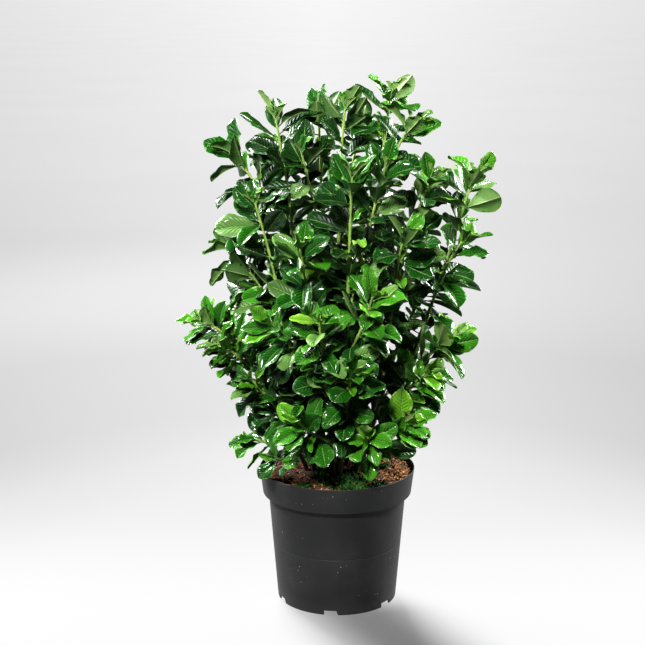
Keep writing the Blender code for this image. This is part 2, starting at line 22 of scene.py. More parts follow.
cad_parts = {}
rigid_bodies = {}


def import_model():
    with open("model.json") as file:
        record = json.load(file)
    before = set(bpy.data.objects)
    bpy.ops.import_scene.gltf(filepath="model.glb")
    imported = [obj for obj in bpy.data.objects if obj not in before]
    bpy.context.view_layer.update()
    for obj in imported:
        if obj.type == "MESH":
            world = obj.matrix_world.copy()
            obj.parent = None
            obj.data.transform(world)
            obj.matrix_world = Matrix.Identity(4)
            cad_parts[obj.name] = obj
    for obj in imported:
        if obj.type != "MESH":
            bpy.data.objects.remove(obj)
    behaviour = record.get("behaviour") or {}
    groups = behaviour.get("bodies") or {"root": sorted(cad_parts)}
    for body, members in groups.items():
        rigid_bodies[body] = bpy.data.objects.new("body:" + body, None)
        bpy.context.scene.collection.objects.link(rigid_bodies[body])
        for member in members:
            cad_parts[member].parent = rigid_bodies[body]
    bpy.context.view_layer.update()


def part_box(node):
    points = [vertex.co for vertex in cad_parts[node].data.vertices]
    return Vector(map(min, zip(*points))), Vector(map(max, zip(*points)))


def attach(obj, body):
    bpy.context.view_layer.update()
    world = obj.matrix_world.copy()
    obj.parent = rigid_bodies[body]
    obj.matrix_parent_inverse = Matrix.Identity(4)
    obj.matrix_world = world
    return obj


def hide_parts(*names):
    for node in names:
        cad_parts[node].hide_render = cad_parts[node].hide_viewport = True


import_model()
ROOT = "root"
MILLIMETRES_PER_METRE = 1000
FULL_TURN = 2 * math.pi
UP = Vector((0.0, 0.0, 1.0))
BACK = Vector((0.0, 1.0, 0.0))
SEED = 41
BLADE_FACES = ((0, 4, 1), (1, 4, 5), (1, 5, 2), (2, 5, 6), (3, 4, 0), (3, 7, 4), (2, 7, 3), (2, 6, 7))
OUTLINE_LEAN = 1.28
OUTLINE_FULLNESS = 0.62
MIX_FIRST = 6
MIX_SECOND = 7
MIX_RESULT = 2
FILLET_STEPS = 4
WELD_DISTANCE = 0.00001
SHORTEST_SIDEWAYS = 0.05
EVEN = (1.0, 1.0, 1.0)
WHITE = (1.0, 1.0, 1.0, 1.0)

Span = tuple[float, float]
Corner = tuple[float, float]
Colour = tuple[float, float, float]
Ramp = tuple[tuple[float, Colour], ...]
Face = tuple[int, ...]
Form = tuple[list[Vector], list[Face]]
Route = Sequence[Vector]
Array = np.ndarray
Skinned = tuple[Array, Array]
log = logging.getLogger("potted_cherry_laurel")


class Skin(Enum):
    """The surfaces of a leafy stem, in the order of its material slots."""

    LEAF_TOP = 0
    LEAF_UNDERSIDE = 1
    BARK = 2


class Tone(Enum):
    """How young the growth of a stem looks, as a share from old dark green to fresh yellow-green."""

    DEEP = 0.08
    MIDDLE = 0.24
    FRESH = 0.44


class Lit(Enum):
    """What a lamp shines on."""

    PLANT = "lit_plant"
    FLOOR = "lit_floor"
    POT = "lit_pot"


def chance_of(*words: object) -> random.Random:
    """A source of chance that is seeded with words."""
    return random.Random(" ".join(map(str, (SEED, *words))))


def smooth_step(low: float, high: float, value: float) -> float:
    """A smooth rise from 0 at low to 1 at high, read at a value between them."""
    share = min(1.0, max(0.0, (value - low) / (high - low)))
    return share * share * (3.0 - 2.0 * share)


def finished_piece(
    name: str, mesh: Mesh, materials: Sequence[Material], replaces: str = ""
) -> Object:
    """Links a mesh as a piece of the object, dressed and riding on its body.

    Args:
        name: The piece's name.
        mesh: Its mesh.
        materials: Its materials, in order.
        replaces: The CAD node that it stands for.

    Returns:
        The new object.
    """
    piece = bpy.data.objects.new(name, mesh)
    bpy.context.scene.collection.objects.link(piece)
    for material in materials:
        mesh.materials.append(material)
    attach(piece, ROOT)
    if replaces:
        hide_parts(replaces)
    log.info("%s: %d faces", name, len(mesh.polygons))
    return piece


@dataclass(frozen=True)
class Grain:
    """Soft random variation: lumps a metre, octaves of finer lumps, their strength, a stretch."""

    scale: float
    detail: float = 2.0
    rough: float = 0.5
    stretch: Colour = EVEN


def arithmetic(operation: str, turned: bool = False) -> Callable[["Flow", "Flow | float"], "Flow"]:
    """One step of arithmetic between a flowing value and another.

    Args:
        operation: Blender's name for it.
        turned: Whether the other value comes first.

    Returns:
        The method that adds its node.
    """

    def step(value: "Flow", other: "Flow | float") -> "Flow":
        """Adds the step's node."""
        return value.bench.maths(operation, *((other, value) if turned else (value, other)))

    return step


class Flow:
    """A value that flows from one of a material's nodes, and takes plain arithmetic."""

    def __init__(self, bench: "NodeBench", socket: NodeSocket) -> None:
        """Keeps the socket that the value comes from, and the bench that its node stands on."""
        self.bench = bench
        self.socket = socket

    __add__ = arithmetic("ADD")
    __mul__ = arithmetic("MULTIPLY")
    __sub__ = arithmetic("SUBTRACT")
    __rsub__ = arithmetic("SUBTRACT", turned=True)
    __truediv__ = arithmetic("DIVIDE")
    __rtruediv__ = arithmetic("DIVIDE", turned=True)

    def __abs__(self) -> "Flow":
        """The value without its sign."""
        return self.bench.maths("ABSOLUTE", self)

    def fraction(self) -> "Flow":
        """What follows the value's decimal point."""
        return self.bench.maths("FRACT", self)

    def swing(self, share: float) -> "Flow":
        """A share of how far the value is from one half, either way."""
        return (self - 0.5) * share

    def rise(self, low: float, high: float) -> "Flow":
        """A smooth rise from 0 at low to 1 at high, or a fall where low is above high.

        Args:
            low: Where the result is 0.
            high: Where it is 1.

        Returns:
            A value from 0 to 1.
        """
        feeds = {"Value": self, "From Min": min(low, high), "From Max": max(low, high)}
        feeds |= {"To Min": float(low > high), "To Max": float(low < high)}
        return self.bench.flow("ShaderNodeMapRange", feeds, "Result", interpolation_type="SMOOTHSTEP")


Feed = Flow | float | Sequence[float]


class NodeBench:
    """A material and short ways to add and join its nodes."""

    def __init__(self, name: str) -> None:
        """Starts a material that holds its shader and output.

        Args:
            name: The material's name.
        """
        self.material = bpy.data.materials.new(name)
        self.material.use_nodes = True
        self.tree = self.material.node_tree
        self.shader = self.tree.nodes["Principled BSDF"]

    def feed(self, target: NodeSocket, source: Feed) -> None:
        """Joins a source to a socket, or sets the socket's own value.

        Args:
            target: The socket that is fed.
            source: A value from another node, or a plain one.
        """
        if isinstance(source, Flow):
            self.tree.links.new(source.socket, target)
        else:
            target.default_value = source

    def add(self, kind: str, feeds: dict[str | int, Feed], **settings: object) -> Node:
        """Adds a node.

        Args:
            kind: The node's type.
            feeds: What its inputs are fed with, by their name or place.
            settings: Values for its own properties.

        Returns:
            The new node.
        """
        node = self.tree.nodes.new(kind)
        for key, value in settings.items():
            setattr(node, key, value)
        for key, source in feeds.items():
            self.feed(node.inputs[key], source)
        return node

    def flow(
        self, kind: str, feeds: dict[str | int, Feed], output: str | int = 0, **settings: object
    ) -> Flow:
        """Adds a node and takes the value of one of its outputs."""
        return Flow(self, self.add(kind, feeds, **settings).outputs[output])

    def shade(self, feeds: dict[str, Feed]) -> None:
        """Feeds inputs of the shader, each by its name."""
        for name, source in feeds.items():
            self.feed(self.shader.inputs[name], source)

    def maths(self, operation: str, *values: Flow | float) -> Flow:
        """One step of arithmetic, under Blender's name for it."""
        return self.flow("ShaderNodeMath", dict(enumerate(values)), operation=operation)

    def parts(self, vector: Flow) -> list[Flow]:
        """The three parts of a vector."""
        return [Flow(self, part) for part in self.add("ShaderNodeSeparateXYZ", {0: vector}).outputs]

    def attribute(self, name: str) -> list[Flow]:
        """The three parts of a vector that is stored on the mesh."""
        return self.parts(self.flow("ShaderNodeAttribute", {}, "Vector", attribute_name=name))

    def place(self, stretch: Colour = EVEN) -> Flow:
        """The point on the surface in the row frame, in metres, with a factor for each axis."""
        point = self.flow("ShaderNodeTexCoord", {}, "Object")
        return self.flow("ShaderNodeMapping", {"Vector": point, "Scale": stretch})

    def grain(self, grain: Grain) -> Flow:
        """A value about one half that varies softly over the surface."""
        feeds = {"Scale": grain.scale, "Detail": grain.detail, "Roughness": grain.rough}
        return self.flow("ShaderNodeTexNoise", {"Vector": self.place(grain.stretch), **feeds}, "Fac")

    def cells(self, scale: float, stretch: Colour = EVEN) -> tuple[Flow, Flow]:
        """Many random cells.

        Args:
            scale: Cells a metre.
            stretch: How far they are stretched along each axis.

        Returns:
            The distance from a cell's middle, and the cell's random number.
        """
        node = self.add("ShaderNodeTexVoronoi", {"Vector": self.place(stretch), "Scale": scale})
        distance, colour = (Flow(self, node.outputs[name]) for name in ("Distance", "Color"))
        return distance, self.flow("ShaderNodeSeparateColor", {0: colour})

    def ramp(self, factor: Flow, stops: Ramp) -> Flow:
        """A colour that follows a value.

        Args:
            factor: The value, from 0 to 1.
            stops: Places along it and their colours.

        Returns:
            The colour.
        """
        node = self.add("ShaderNodeValToRGB", {"Fac": factor})
        elements = node.color_ramp.elements
        while len(elements) < len(stops):
            elements.new(0.5)
        for element, (position, colour) in zip(elements, stops):
            element.position = position
            element.color = (*colour, 1.0)
        return Flow(self, node.outputs["Color"])

    def mix(self, share: Flow | float, first: Flow | Colour, second: Flow | Colour) -> Flow:
        """A blend of two colours, with a share of the second.

        Args:
            share: How much of the second colour shows.
            first: The first colour.
            second: The second colour.

        Returns:
            The blend.
        """
        feeds: dict[str | int, Feed] = {"Factor": share}
        for socket, colour in ((MIX_FIRST, first), (MIX_SECOND, second)):
            feeds[socket] = colour if isinstance(colour, Flow) else (*colour, 1.0)
        return self.flow("ShaderNodeMix", feeds, MIX_RESULT, data_type="RGBA")

    def bump(self, height: Flow, distance: float, strength: float = 1.0) -> None:
        """Raises the surface by a height, on top of any bump that it has.

        Args:
            height: The relief, from 0 to 1.
            distance: How high 1 stands, in metres.
            strength: The share of it that shows.
        """
        feeds = {"Strength": strength, "Distance": distance, "Height": height}
        normal = self.shader.inputs["Normal"]
        if normal.links:
            feeds["Normal"] = Flow(self, normal.links[0].from_socket)
        self.shade({"Normal": self.flow("ShaderNodeBump", feeds, "Normal")})


@dataclass(frozen=True)
class VeinPattern:
    """The side veins of a leaf, which slant from its rib towards its tip and fade at the edge."""

    half_width: float
    fade_out: Span
    count: float = 9.0
    slant: float = 0.30

    def draw(self, along: Flow, spread: Flow) -> tuple[Flow, Flow]:
        """Draws the veins.

        Args:
            along: The share of the blade's length.
            spread: The share of its half width.

        Returns:
            The veins, and the height of the blade as it swells between them.
        """
        gap = abs(((along - spread * self.slant) * self.count).fraction() - 0.5)
        fading = spread.rise(*self.fade_out)
        return gap.rise(self.half_width, 0.0) * fading, gap * fading


@dataclass(frozen=True)
class LeafTopFinish:
    """The glossy upper side of the leaves, from old to young, with a pale rib and faint side veins."""

    ages: Ramp = (
        (0.0, (0.0018, 0.026, 0.0018)),
        (0.22, (0.0060, 0.078, 0.0024)),
        (0.55, (0.058, 0.260, 0.0080)),
        (1.0, (0.200, 0.410, 0.0240)),
    )
    cool: Colour = (0.0040, 0.042, 0.008)
    faded: Colour = (0.170, 0.310, 0.085)
    rib: Colour = (0.260, 0.460, 0.150)
    mottle: Grain = Grain(60.0, 3.0)
    mottle_share: float = 0.16
    cool_leaves: Span = (0.55, 1.3)
    cool_youth: Span = (0.30, 0.0)
    faded_leaves: Span = (0.90, 0.95)
    faded_share: float = 0.7
    rib_width: Span = (0.08, 0.02)
    rib_share: float = 0.70
    veins: VeinPattern = VeinPattern(0.10, (0.95, 0.35))
    vein_share: float = 0.26
    edge_width: Span = (0.95, 1.0)
    edge_share: float = 0.5
    roughness: float = 0.34
    coat_roughness: float = 0.12
    specular: float = 0.20
    least_gloss: float = 0.12
    more_gloss: float = 0.62
    swelling: float = 0.0022
    rib_height: float = 0.0007
    mottle_height: float = 0.0009
    mottle_relief: float = 0.7

    def material(self) -> Material:
        """Builds the material.

        Returns:
            The material.
        """
        bench = NodeBench("laurel_leaf_top")
        along, across, chance = bench.attribute("leaf_place")
        youth, hue, _ = bench.attribute("leaf_tone")
        mottle = bench.grain(self.mottle)
        # youth also holds painted light on the low leaves and painted shade on the high ones.
        blade = bench.ramp(youth + mottle.swing(self.mottle_share), self.ages)
        cool = bench.mix(hue.rise(*self.cool_leaves), blade, self.cool)
        deep = bench.mix(youth.rise(*self.cool_youth), blade, cool)
        tinted = bench.mix(chance.rise(*self.faded_leaves) * self.faded_share, deep, self.faded)
        spread = abs(across)
        rib = spread.rise(*self.rib_width)
        veins, swollen = self.veins.draw(along, spread)
        veined = bench.mix(veins * self.vein_share, tinted, self.rib)
        ribbed = bench.mix(rib * self.rib_share, veined, self.rib)
        edge = spread.rise(*self.edge_width) * self.edge_share
        bench.shade({
            "Base Color": bench.mix(edge, ribbed, self.rib),
            "Roughness": self.roughness,
            "Coat Weight": (1.0 - chance) * self.more_gloss + self.least_gloss,
            "Coat Roughness": self.coat_roughness,
            "Specular IOR Level": self.specular,
        })
        bench.bump(swollen, self.swelling)
        bench.bump(rib, self.rib_height)
        bench.bump(mottle, self.mottle_height, self.mottle_relief)
        return bench.material


@dataclass(frozen=True)
class LeafUndersideFinish:
    """The matte pale underside of the leaves, from old to young, and their stalks."""

    ages: Ramp = (
        (0.08, (0.026, 0.080, 0.018)),
        (0.45, (0.120, 0.240, 0.062)),
        (1.0, (0.310, 0.450, 0.130)),
    )
    rib: Colour = (0.340, 0.460, 0.170)
    mottle: Grain = Grain(90.0, 3.0)
    hue_weight: float = 1.6
    varied_share: float = 0.2
    rib_width: Span = (0.10, 0.03)
    rib_share: float = 0.8
    veins: VeinPattern = VeinPattern(0.12, (0.95, 0.2))
    vein_share: float = 0.35
    roughness: float = 0.55
    vein_height: float = 0.0006
    mottle_height: float = 0.0005
    mottle_relief: float = 0.5

    def material(self) -> Material:
        """Builds the material.

        Returns:
            The material.
        """
        bench = NodeBench("laurel_leaf_underside")
        along, across, _ = bench.attribute("leaf_place")
        youth, hue, _ = bench.attribute("leaf_tone")
        mottle = bench.grain(self.mottle)
        varied = (mottle - 0.5) + hue * self.hue_weight
        # youth also holds painted light on the low leaves and painted shade on the high ones.
        blade = bench.ramp(youth + varied * self.varied_share, self.ages)
        spread = abs(across)
        rib = spread.rise(*self.rib_width) * self.rib_share
        veins, _ = self.veins.draw(along, spread)
        veined = bench.mix(veins * self.vein_share, blade, self.rib)
        bench.shade({"Base Color": bench.mix(rib, veined, self.rib), "Roughness": self.roughness})
        bench.bump(veins, self.vein_height)
        bench.bump(mottle, self.mottle_height, self.mottle_relief)
        return bench.material


@dataclass(frozen=True)
class BarkFinish:
    """Stems that are fresh green at their tips and brown and cracked at the soil."""

    ages: Ramp = ((0.0, (0.055, 0.036, 0.020)), (0.42, (0.095, 0.130, 0.034)), (0.9, (0.280, 0.420, 0.090)))
    pore: Colour = (0.26, 0.21, 0.14)
    streaks: Grain = Grain(900.0, 3.0, 0.6, (1.0, 1.0, 0.16))
    streak_share: float = 0.8
    pore_scale: float = 420.0
    pore_stretch: Colour = (1.0, 1.0, 0.5)
    pore_size: Span = (0.22, 0.10)
    pore_youth: Span = (0.7, 0.2)
    pore_share: float = 0.5
    roughness: float = 0.5
    streak_height: float = 0.0008

    def material(self) -> Material:
        """Builds the material.

        Returns:
            The material.
        """
        bench = NodeBench("stem_bark")
        youth, _, _ = bench.attribute("leaf_tone")
        streaks = bench.grain(self.streaks)
        skin = bench.ramp(youth + streaks.swing(self.streak_share), self.ages)
        pores, _ = bench.cells(self.pore_scale, self.pore_stretch)
        marked = pores.rise(*self.pore_size) * youth.rise(*self.pore_youth)
        bench.shade({
            "Base Color": bench.mix(marked * self.pore_share, skin, self.pore),
            "Roughness": self.roughness,
        })
        bench.bump(streaks, self.streak_height)
        return bench.material


@dataclass(frozen=True)
class PotPlasticFinish:
    """Satin charcoal plastic with fine moulding grain, rub marks and a little dust."""

    plastic: Colour = (0.0190, 0.0192, 0.0200)
    rubbed: Colour = (0.029, 0.029, 0.0306)
    dust: Colour = (0.110, 0.103, 0.095)
    speck: Colour = (0.42, 0.40, 0.37)
    clouds: Grain = Grain(14.0, 4.0)
    clouded: Span = (0.40, 0.72)
    rubs: Grain = Grain(26.0, 5.0, 0.65, (1.0, 1.0, 6.0))
    rub_width: Span = (0.66, 0.76)
    rub_share: float = 0.30
    speck_scale: float = 130.0
    speck_size: Span = (0.13, 0.08)
    speck_patches: Grain = Grain(18.0, 1.0)
    speck_cover: Span = (0.60, 0.68)
    speck_share: float = 0.8
    ground: Span = (0.030, 0.0)
    ground_share: float = 0.16
    roughness: float = 0.44
    cloud_roughness: float = 0.16
    specular: float = 0.25
    moulding: Grain = Grain(2600.0, 2.0)
    moulding_height: float = 0.00012
    waviness: Grain = Grain(45.0, 3.0)
    wave_height: float = 0.0010
    wave_relief: float = 0.5

    def material(self) -> Material:
        """Builds the material.

        Returns:
            The material.
        """
        bench = NodeBench("pot_plastic")
        clouds = bench.grain(self.clouds)
        base = bench.mix(clouds.rise(*self.clouded), self.plastic, self.rubbed)
        rubs = bench.grain(self.rubs).rise(*self.rub_width)
        scuffed = bench.mix(rubs * self.rub_share, base, self.dust)
        specks, _ = bench.cells(self.speck_scale)
        dots = specks.rise(*self.speck_size) * bench.grain(self.speck_patches).rise(*self.speck_cover)
        height = bench.parts(bench.place())[2]
        dusty = bench.mix(height.rise(*self.ground) * self.ground_share, scuffed, self.dust)
        bench.shade({
            "Base Color": bench.mix(dots * self.speck_share, dusty, self.speck),
            "Roughness": clouds * self.cloud_roughness + self.roughness,
            "Specular IOR Level": self.specular,
        })
        bench.bump(bench.grain(self.moulding), self.moulding_height)
        bench.bump(bench.grain(self.waviness), self.wave_height, self.wave_relief)
        return bench.material


@dataclass(frozen=True)
class SoilFinish:
    """Moist peat mix: dark crumbs with red-brown and tan specks, and moss where it stays damp."""

    dark: Colour = (0.012, 0.007, 0.005)
    brown: Colour = (0.095, 0.034, 0.015)
    tan: Colour = (0.250, 0.110, 0.042)
    moss: Colour = (0.006, 0.040, 0.006)
    brown_share: Span = (0.45, 0.80)
    crumb_scale: float = 380.0
    crumb_height: float = 0.0020
    damp: Grain = Grain(40.0, 3.0)
    damp_cover: Span = (0.62, 0.40)
    grit: Grain = Grain(900.0, 3.0)
    grit_height: float = 0.0009
    roughness: float = 0.9

    def material(self) -> Material:
        """Builds the material.

        Returns:
            The material.
        """
        bench = NodeBench("potting_soil")
        crumbs, chance = bench.cells(self.crumb_scale)
        first, last = self.brown_share
        stops = ((0.0, self.dark), (first, self.brown), (last, self.brown), (1.0, self.tan))
        base = bench.ramp(chance, stops)
        damp = bench.mix(bench.grain(self.damp).rise(*self.damp_cover), base, self.dark)
        mossy, _, _ = bench.attribute("soil_tone")
        bench.shade({"Base Color": bench.mix(mossy, damp, self.moss), "Roughness": self.roughness})
        bench.bump(crumbs, self.crumb_height)
        bench.bump(bench.grain(self.grit), self.grit_height)
        return bench.material


@dataclass(frozen=True)
class ScatterFinish:
    """Loose bits of one kind, each with a random shade between a few colours."""

    name: str
    shades: tuple[Colour, ...]
    roughness: float = 0.85
    flecks: Grain = Grain(1400.0, 2.0)
    fleck_share: float = 0.35
    fleck_height: float = 0.0006

    def material(self) -> Material:
        """Builds the material.

        Returns:
            The material.
        """
        bench = NodeBench(self.name)
        chance, _, _ = bench.attribute("soil_tone")
        fleck = bench.grain(self.flecks)
        last = len(self.shades) - 1
        stops = tuple((number / last, colour) for number, colour in enumerate(self.shades))
        shade = bench.ramp(chance + fleck.swing(self.fleck_share), stops)
        bench.shade({"Base Color": shade, "Roughness": self.roughness})
        bench.bump(fleck, self.fleck_height)
        return bench.material


@dataclass(frozen=True)
class FloorFinish:
    """A seamless pale floor whose glow is painted light: nearly white in front of the plant, greyer further
    back and darker towards the sides.
    """

    tone: tuple[Span, ...] = (
        *((0.30, 0.755), (0.60, 0.760), (0.87, 0.74), (1.20, 0.67), (1.9, 0.645)),
        *((3.6, 0.735), (7.3, 0.775), (21.0, 0.80), (60.0, 0.82)),
    )
    painted_front_light: float = 0.075
    front_depth: Span = (0.5, -0.1)
    front_reach: Span = (1.2, 0.6)
    paint: float = 0.385
    back_paint: float = 0.02
    lit: float = 1.52
    shadow_slant: float = 0.48
    shadow_width: Span = (0.21, 0.01)
    shadow_depth: Span = (0.02, -0.10)
    shadow_reach: Span = (0.75, 0.35)
    side_fall: float = 0.7
    side_depth: Span = (0.1, 0.9)
    eye_distance: float = 2.6
    most_turned: float = 0.23
    clouds: Grain = Grain(0.7, 2.0)
    cloud_cover: Span = (0.3, 0.7)
    cloud_share: float = 0.01
    roughness: float = 0.8

    def material(self) -> Material:
        """Builds the material.

        Returns:
            The material. Its glow is painted light, and only in front of the pot is it paint that takes a
            shadow.
        """
        bench = NodeBench("pale_floor")
        reach = bench.flow("ShaderNodeVectorMath", {0: bench.place()}, "Value", operation="LENGTH")
        aside, back, _ = bench.parts(bench.place())
        # Painted light: the glow stands for lamp light. It changes with distance from the pot, falls off
        # towards the sides and is brighter just in front.
        turned = bench.maths("MINIMUM", abs(aside) / (abs(back) + self.eye_distance), self.most_turned)
        kept = 1.0 - turned * back.rise(*self.side_depth) * self.side_fall
        stops = tuple((1 / (1 + far), (light,) * 3) for far, light in reversed(self.tone))
        tone = bench.ramp(1.0 / (reach + 1.0), stops)
        front = back.rise(*self.front_depth) * reach.rise(*self.front_reach)
        whole = tone * kept + front * self.painted_front_light
        band = abs(aside + back * self.shadow_slant).rise(*self.shadow_width)
        painted = back.rise(*self.shadow_depth) * reach.rise(*self.shadow_reach) * band
        share = painted * self.paint + self.back_paint
        cloud = bench.grain(self.clouds).rise(*self.cloud_cover) * self.cloud_share
        # The glow is painted light: the wanted brightness less what the lamp gives the paint.
        bench.shade({
            "Base Color": share,
            "Roughness": self.roughness,
            "Specular IOR Level": 0.0,
            "Emission Color": WHITE,
            "Emission Strength": whole - share * self.lit - cloud,
        })
        return bench.material


def fillet(before: Corner, corner: Corner, after: Corner, radius: float) -> list[Corner]:
    """Points of a small curve that rounds a corner of a profile.

    Args:
        before: The profile's point before the corner.
        corner: The corner.
        after: The point after it.
        radius: How far from the corner the curve starts and ends.

    Returns:
        Five points, or the corner alone where the radius is 0.
    """
    if not radius:
        return [corner]
    middle = Vector(corner)
    start = middle + (Vector(before) - middle).normalized() * radius
    end = middle + (Vector(after) - middle).normalized() * radius
    points = []
    for step in range(FILLET_STEPS + 1):
        t = step / FILLET_STEPS
        point = start * (1 - t) ** 2 + middle * 2 * t * (1 - t) + end * t**2
        points.append((point.x, point.y))
    return points


def lathe(name: str, profile: Sequence[Corner], sides: int) -> Mesh:
    """A closed mesh turned about Z.

    Args:
        name: The mesh's name.
        profile: Points of (radius, height) from the axis, round the section and back to the axis.
        sides: How many faces go round.

    Returns:
        The mesh, with its faces pointing out.
    """
    tool = bmesh.new()
    chain = [tool.verts.new((radius, 0.0, height)) for radius, height in profile]
    edges = [tool.edges.new(pair) for pair in zip(chain, chain[1:])]
    turn = {"cent": (0.0, 0.0, 0.0), "axis": (0.0, 0.0, 1.0), "angle": FULL_TURN, "steps": sides}
    bmesh.ops.spin(tool, geom=chain + edges, use_merge=True, **turn)
    bmesh.ops.remove_doubles(tool, verts=tool.verts, dist=WELD_DISTANCE)
    bmesh.ops.recalc_face_normals(tool, faces=tool.faces)
    mesh = bpy.data.meshes.new(name)
    tool.to_mesh(mesh)
    tool.free()
    return mesh


@dataclass
class NurseryPot:
    """The round moulded pot: a deep collar, a tapered wall, a foot edge with notches, drain holes."""

    node: str = "nursery_pot"
    collar_foot_radius: float = 0.1345
    collar_depth: float = 0.046
    collar_lip: tuple[Corner, ...] = ((0.0003, 0.0042), (0.0, 0.0026))
    body_top_radius: float = 0.1243
    base_radius: float = 0.1080
    wall: float = 0.0022
    foot_height: float = 0.009
    floor_thickness: float = 0.0025
    centre_radius: float = 0.058
    centre_rise_width: float = 0.006
    mould_line: float = 0.107
    mould_line_step: float = 0.00035
    mould_line_half: float = 0.0004
    mould_line_above: float = 0.0012
    mould_line_below: float = 0.0008
    notch_count: int = 6
    notch_first_angle: float = -95.0
    notch_width: float = 0.029
    notch_slope: float = 0.007
    notch_height: float = 0.0085
    notch_reach: int = 8
    drain_ring_radius: float = 0.083
    drain_hole_radius: float = 0.006
    drain_hole_sides: int = 24
    drain_hole_reach: int = 4
    sides: int = 144
    sharp_angle: float = 35.0
    height: float = field(init=False)
    rim_radius: float = field(init=False)

    def __post_init__(self) -> None:
        """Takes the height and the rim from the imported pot."""
        _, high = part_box(self.node)
        self.height = high.z
        self.rim_radius = high.x

    def body_radius(self, height: float) -> float:
        """Outer radius of the tapered wall at a height."""
        share = height / (self.height - self.collar_depth)
        return self.base_radius + (self.body_top_radius - self.base_radius) * share

    def profile(self) -> list[Corner]:
        """The section. Each corner has its radius from the axis, its height and its rounding.

        Returns:
            Points of (radius, height) from the floor's middle up the inside and down the outside.
        """
        wall, foot, rim, top = self.wall, self.foot_height, self.rim_radius, self.height
        collar, body = self.collar_foot_radius, self.body_top_radius
        base, middle = self.base_radius, self.centre_radius
        floor = foot + self.floor_thickness
        ledge = top - self.collar_depth
        rise = middle + self.centre_rise_width
        line = self.mould_line
        above, below = line + self.mould_line_above, line - self.mould_line_below
        groove = self.body_radius(line) - self.mould_line_step
        corners = [
            (0.0, self.floor_thickness, 0.0),
            (middle - wall, self.floor_thickness, 0.001),
            (rise - wall, floor, 0.001),
            (self.body_radius(floor) - wall, floor, 0.002),
            (body - wall, ledge + wall, 0.0012),
            (collar - wall, ledge + wall, 0.002),
            (rim - wall, top - wall / 2, 0.0004),
            (rim - wall * 0.75, top, 0.0005),
            (rim - wall * 0.2, top, 0.0004),
            (rim, top - wall / 2, 0.0006),
            *[(collar + out, ledge + up, 0.0006) for out, up in self.collar_lip],
            (collar, ledge, 0.0013),
            (body, ledge, 0.0012),
            (self.body_radius(above), above, 0.0002),
            (groove, line + self.mould_line_half, 0.0002),
            (groove, line - self.mould_line_half, 0.0002),
            (self.body_radius(below), below, 0.0002),
            (base, 0.0, 0.0009),
            (base - wall, 0.0, 0.0006),
            (base - wall, foot, 0.001),
            (rise, foot, 0.001),
            (middle, 0.0, 0.001),
            (0.0, 0.0, 0.0),
        ]
        points = []
        for number, (radius, height, round_off) in enumerate(corners):
            before = corners[max(number - 1, 0)][:2]
            after = corners[min(number + 1, len(corners) - 1)][:2]
            points += fillet(before, (radius, height), after, round_off)
        return points

    def notch_turn(self, number: float) -> Matrix:
        """The turn about the axis that brings a notch to its place."""
        angle = math.radians(self.notch_first_angle + number * 360 / self.notch_count)
        return Matrix.Rotation(angle, 4, "Z")

    def notch_tool(self, number: int) -> bmesh.types.BMesh:
        """A block with one sloping side that cuts a drain notch into the foot edge.

        Args:
            number: Which notch it is.

        Returns:
            The block, in its place.
        """
        tool = bmesh.new()
        bmesh.ops.create_cube(tool, size=1.0)
        for vertex in tool.verts:
            slope = self.notch_slope if vertex.co.y > 0 and vertex.co.z > 0 else 0.0
            vertex.co.x *= self.notch_reach * self.wall
            vertex.co.y = vertex.co.y * self.notch_width - slope
            vertex.co.z *= 2 * self.notch_height
        placed = self.notch_turn(number) @ Matrix.Translation((self.base_radius, 0.0, 0.0))
        bmesh.ops.transform(tool, matrix=placed, verts=tool.verts)
        return tool

    def hole_tool(self, number: int) -> bmesh.types.BMesh:
        """A cylinder that cuts a drain hole through the floor, half-way between two notches.

        Args:
            number: Which hole it is.

        Returns:
            The cylinder, in its place.
        """
        middle = self.notch_turn(number + 0.5) @ Vector((self.drain_ring_radius, 0.0, self.foot_height))
        sizes = dict.fromkeys(("radius1", "radius2"), self.drain_hole_radius)
        sizes |= {"depth": self.drain_hole_reach * self.floor_thickness, "segments": self.drain_hole_sides}
        tool = bmesh.new()
        bmesh.ops.create_cone(tool, cap_ends=True, matrix=Matrix.Translation(middle), **sizes)
        return tool

    def cut(self, pot: Object) -> None:
        """Cuts the notches and the drain holes.

        Args:
            pot: The turned pot.
        """
        tools = bpy.data.collections.new("pot_tools")
        for number in range(self.notch_count):
            for form in (self.notch_tool(number), self.hole_tool(number)):
                mesh = bpy.data.meshes.new("pot_tool")
                form.to_mesh(mesh)
                form.free()
                tools.objects.link(bpy.data.objects.new("pot_tool", mesh))
        boolean = pot.modifiers.new("Drain openings", "BOOLEAN")
        boolean.operation = "DIFFERENCE"
        boolean.operand_type = "COLLECTION"
        boolean.collection = tools
        graph = bpy.context.evaluated_depsgraph_get()
        mesh = bpy.data.meshes.new_from_object(pot.evaluated_get(graph))
        pot.modifiers.clear()
        pot.data = mesh
        for tool in list(tools.objects):
            bpy.data.objects.remove(tool)
        bpy.data.collections.remove(tools)

    def build(self) -> Object:
        """Turns, cuts and dresses the pot.

        Returns:
            The pot.
        """
        mesh = lathe("moulded_pot", self.profile(), self.sides)
        pot = finished_piece("moulded_pot", mesh, [PotPlasticFinish().material()], self.node)
        self.cut(pot)
        pot.data.shade_smooth()
        pot.data.set_sharp_from_angle(angle=math.radians(self.sharp_angle))
        return pot


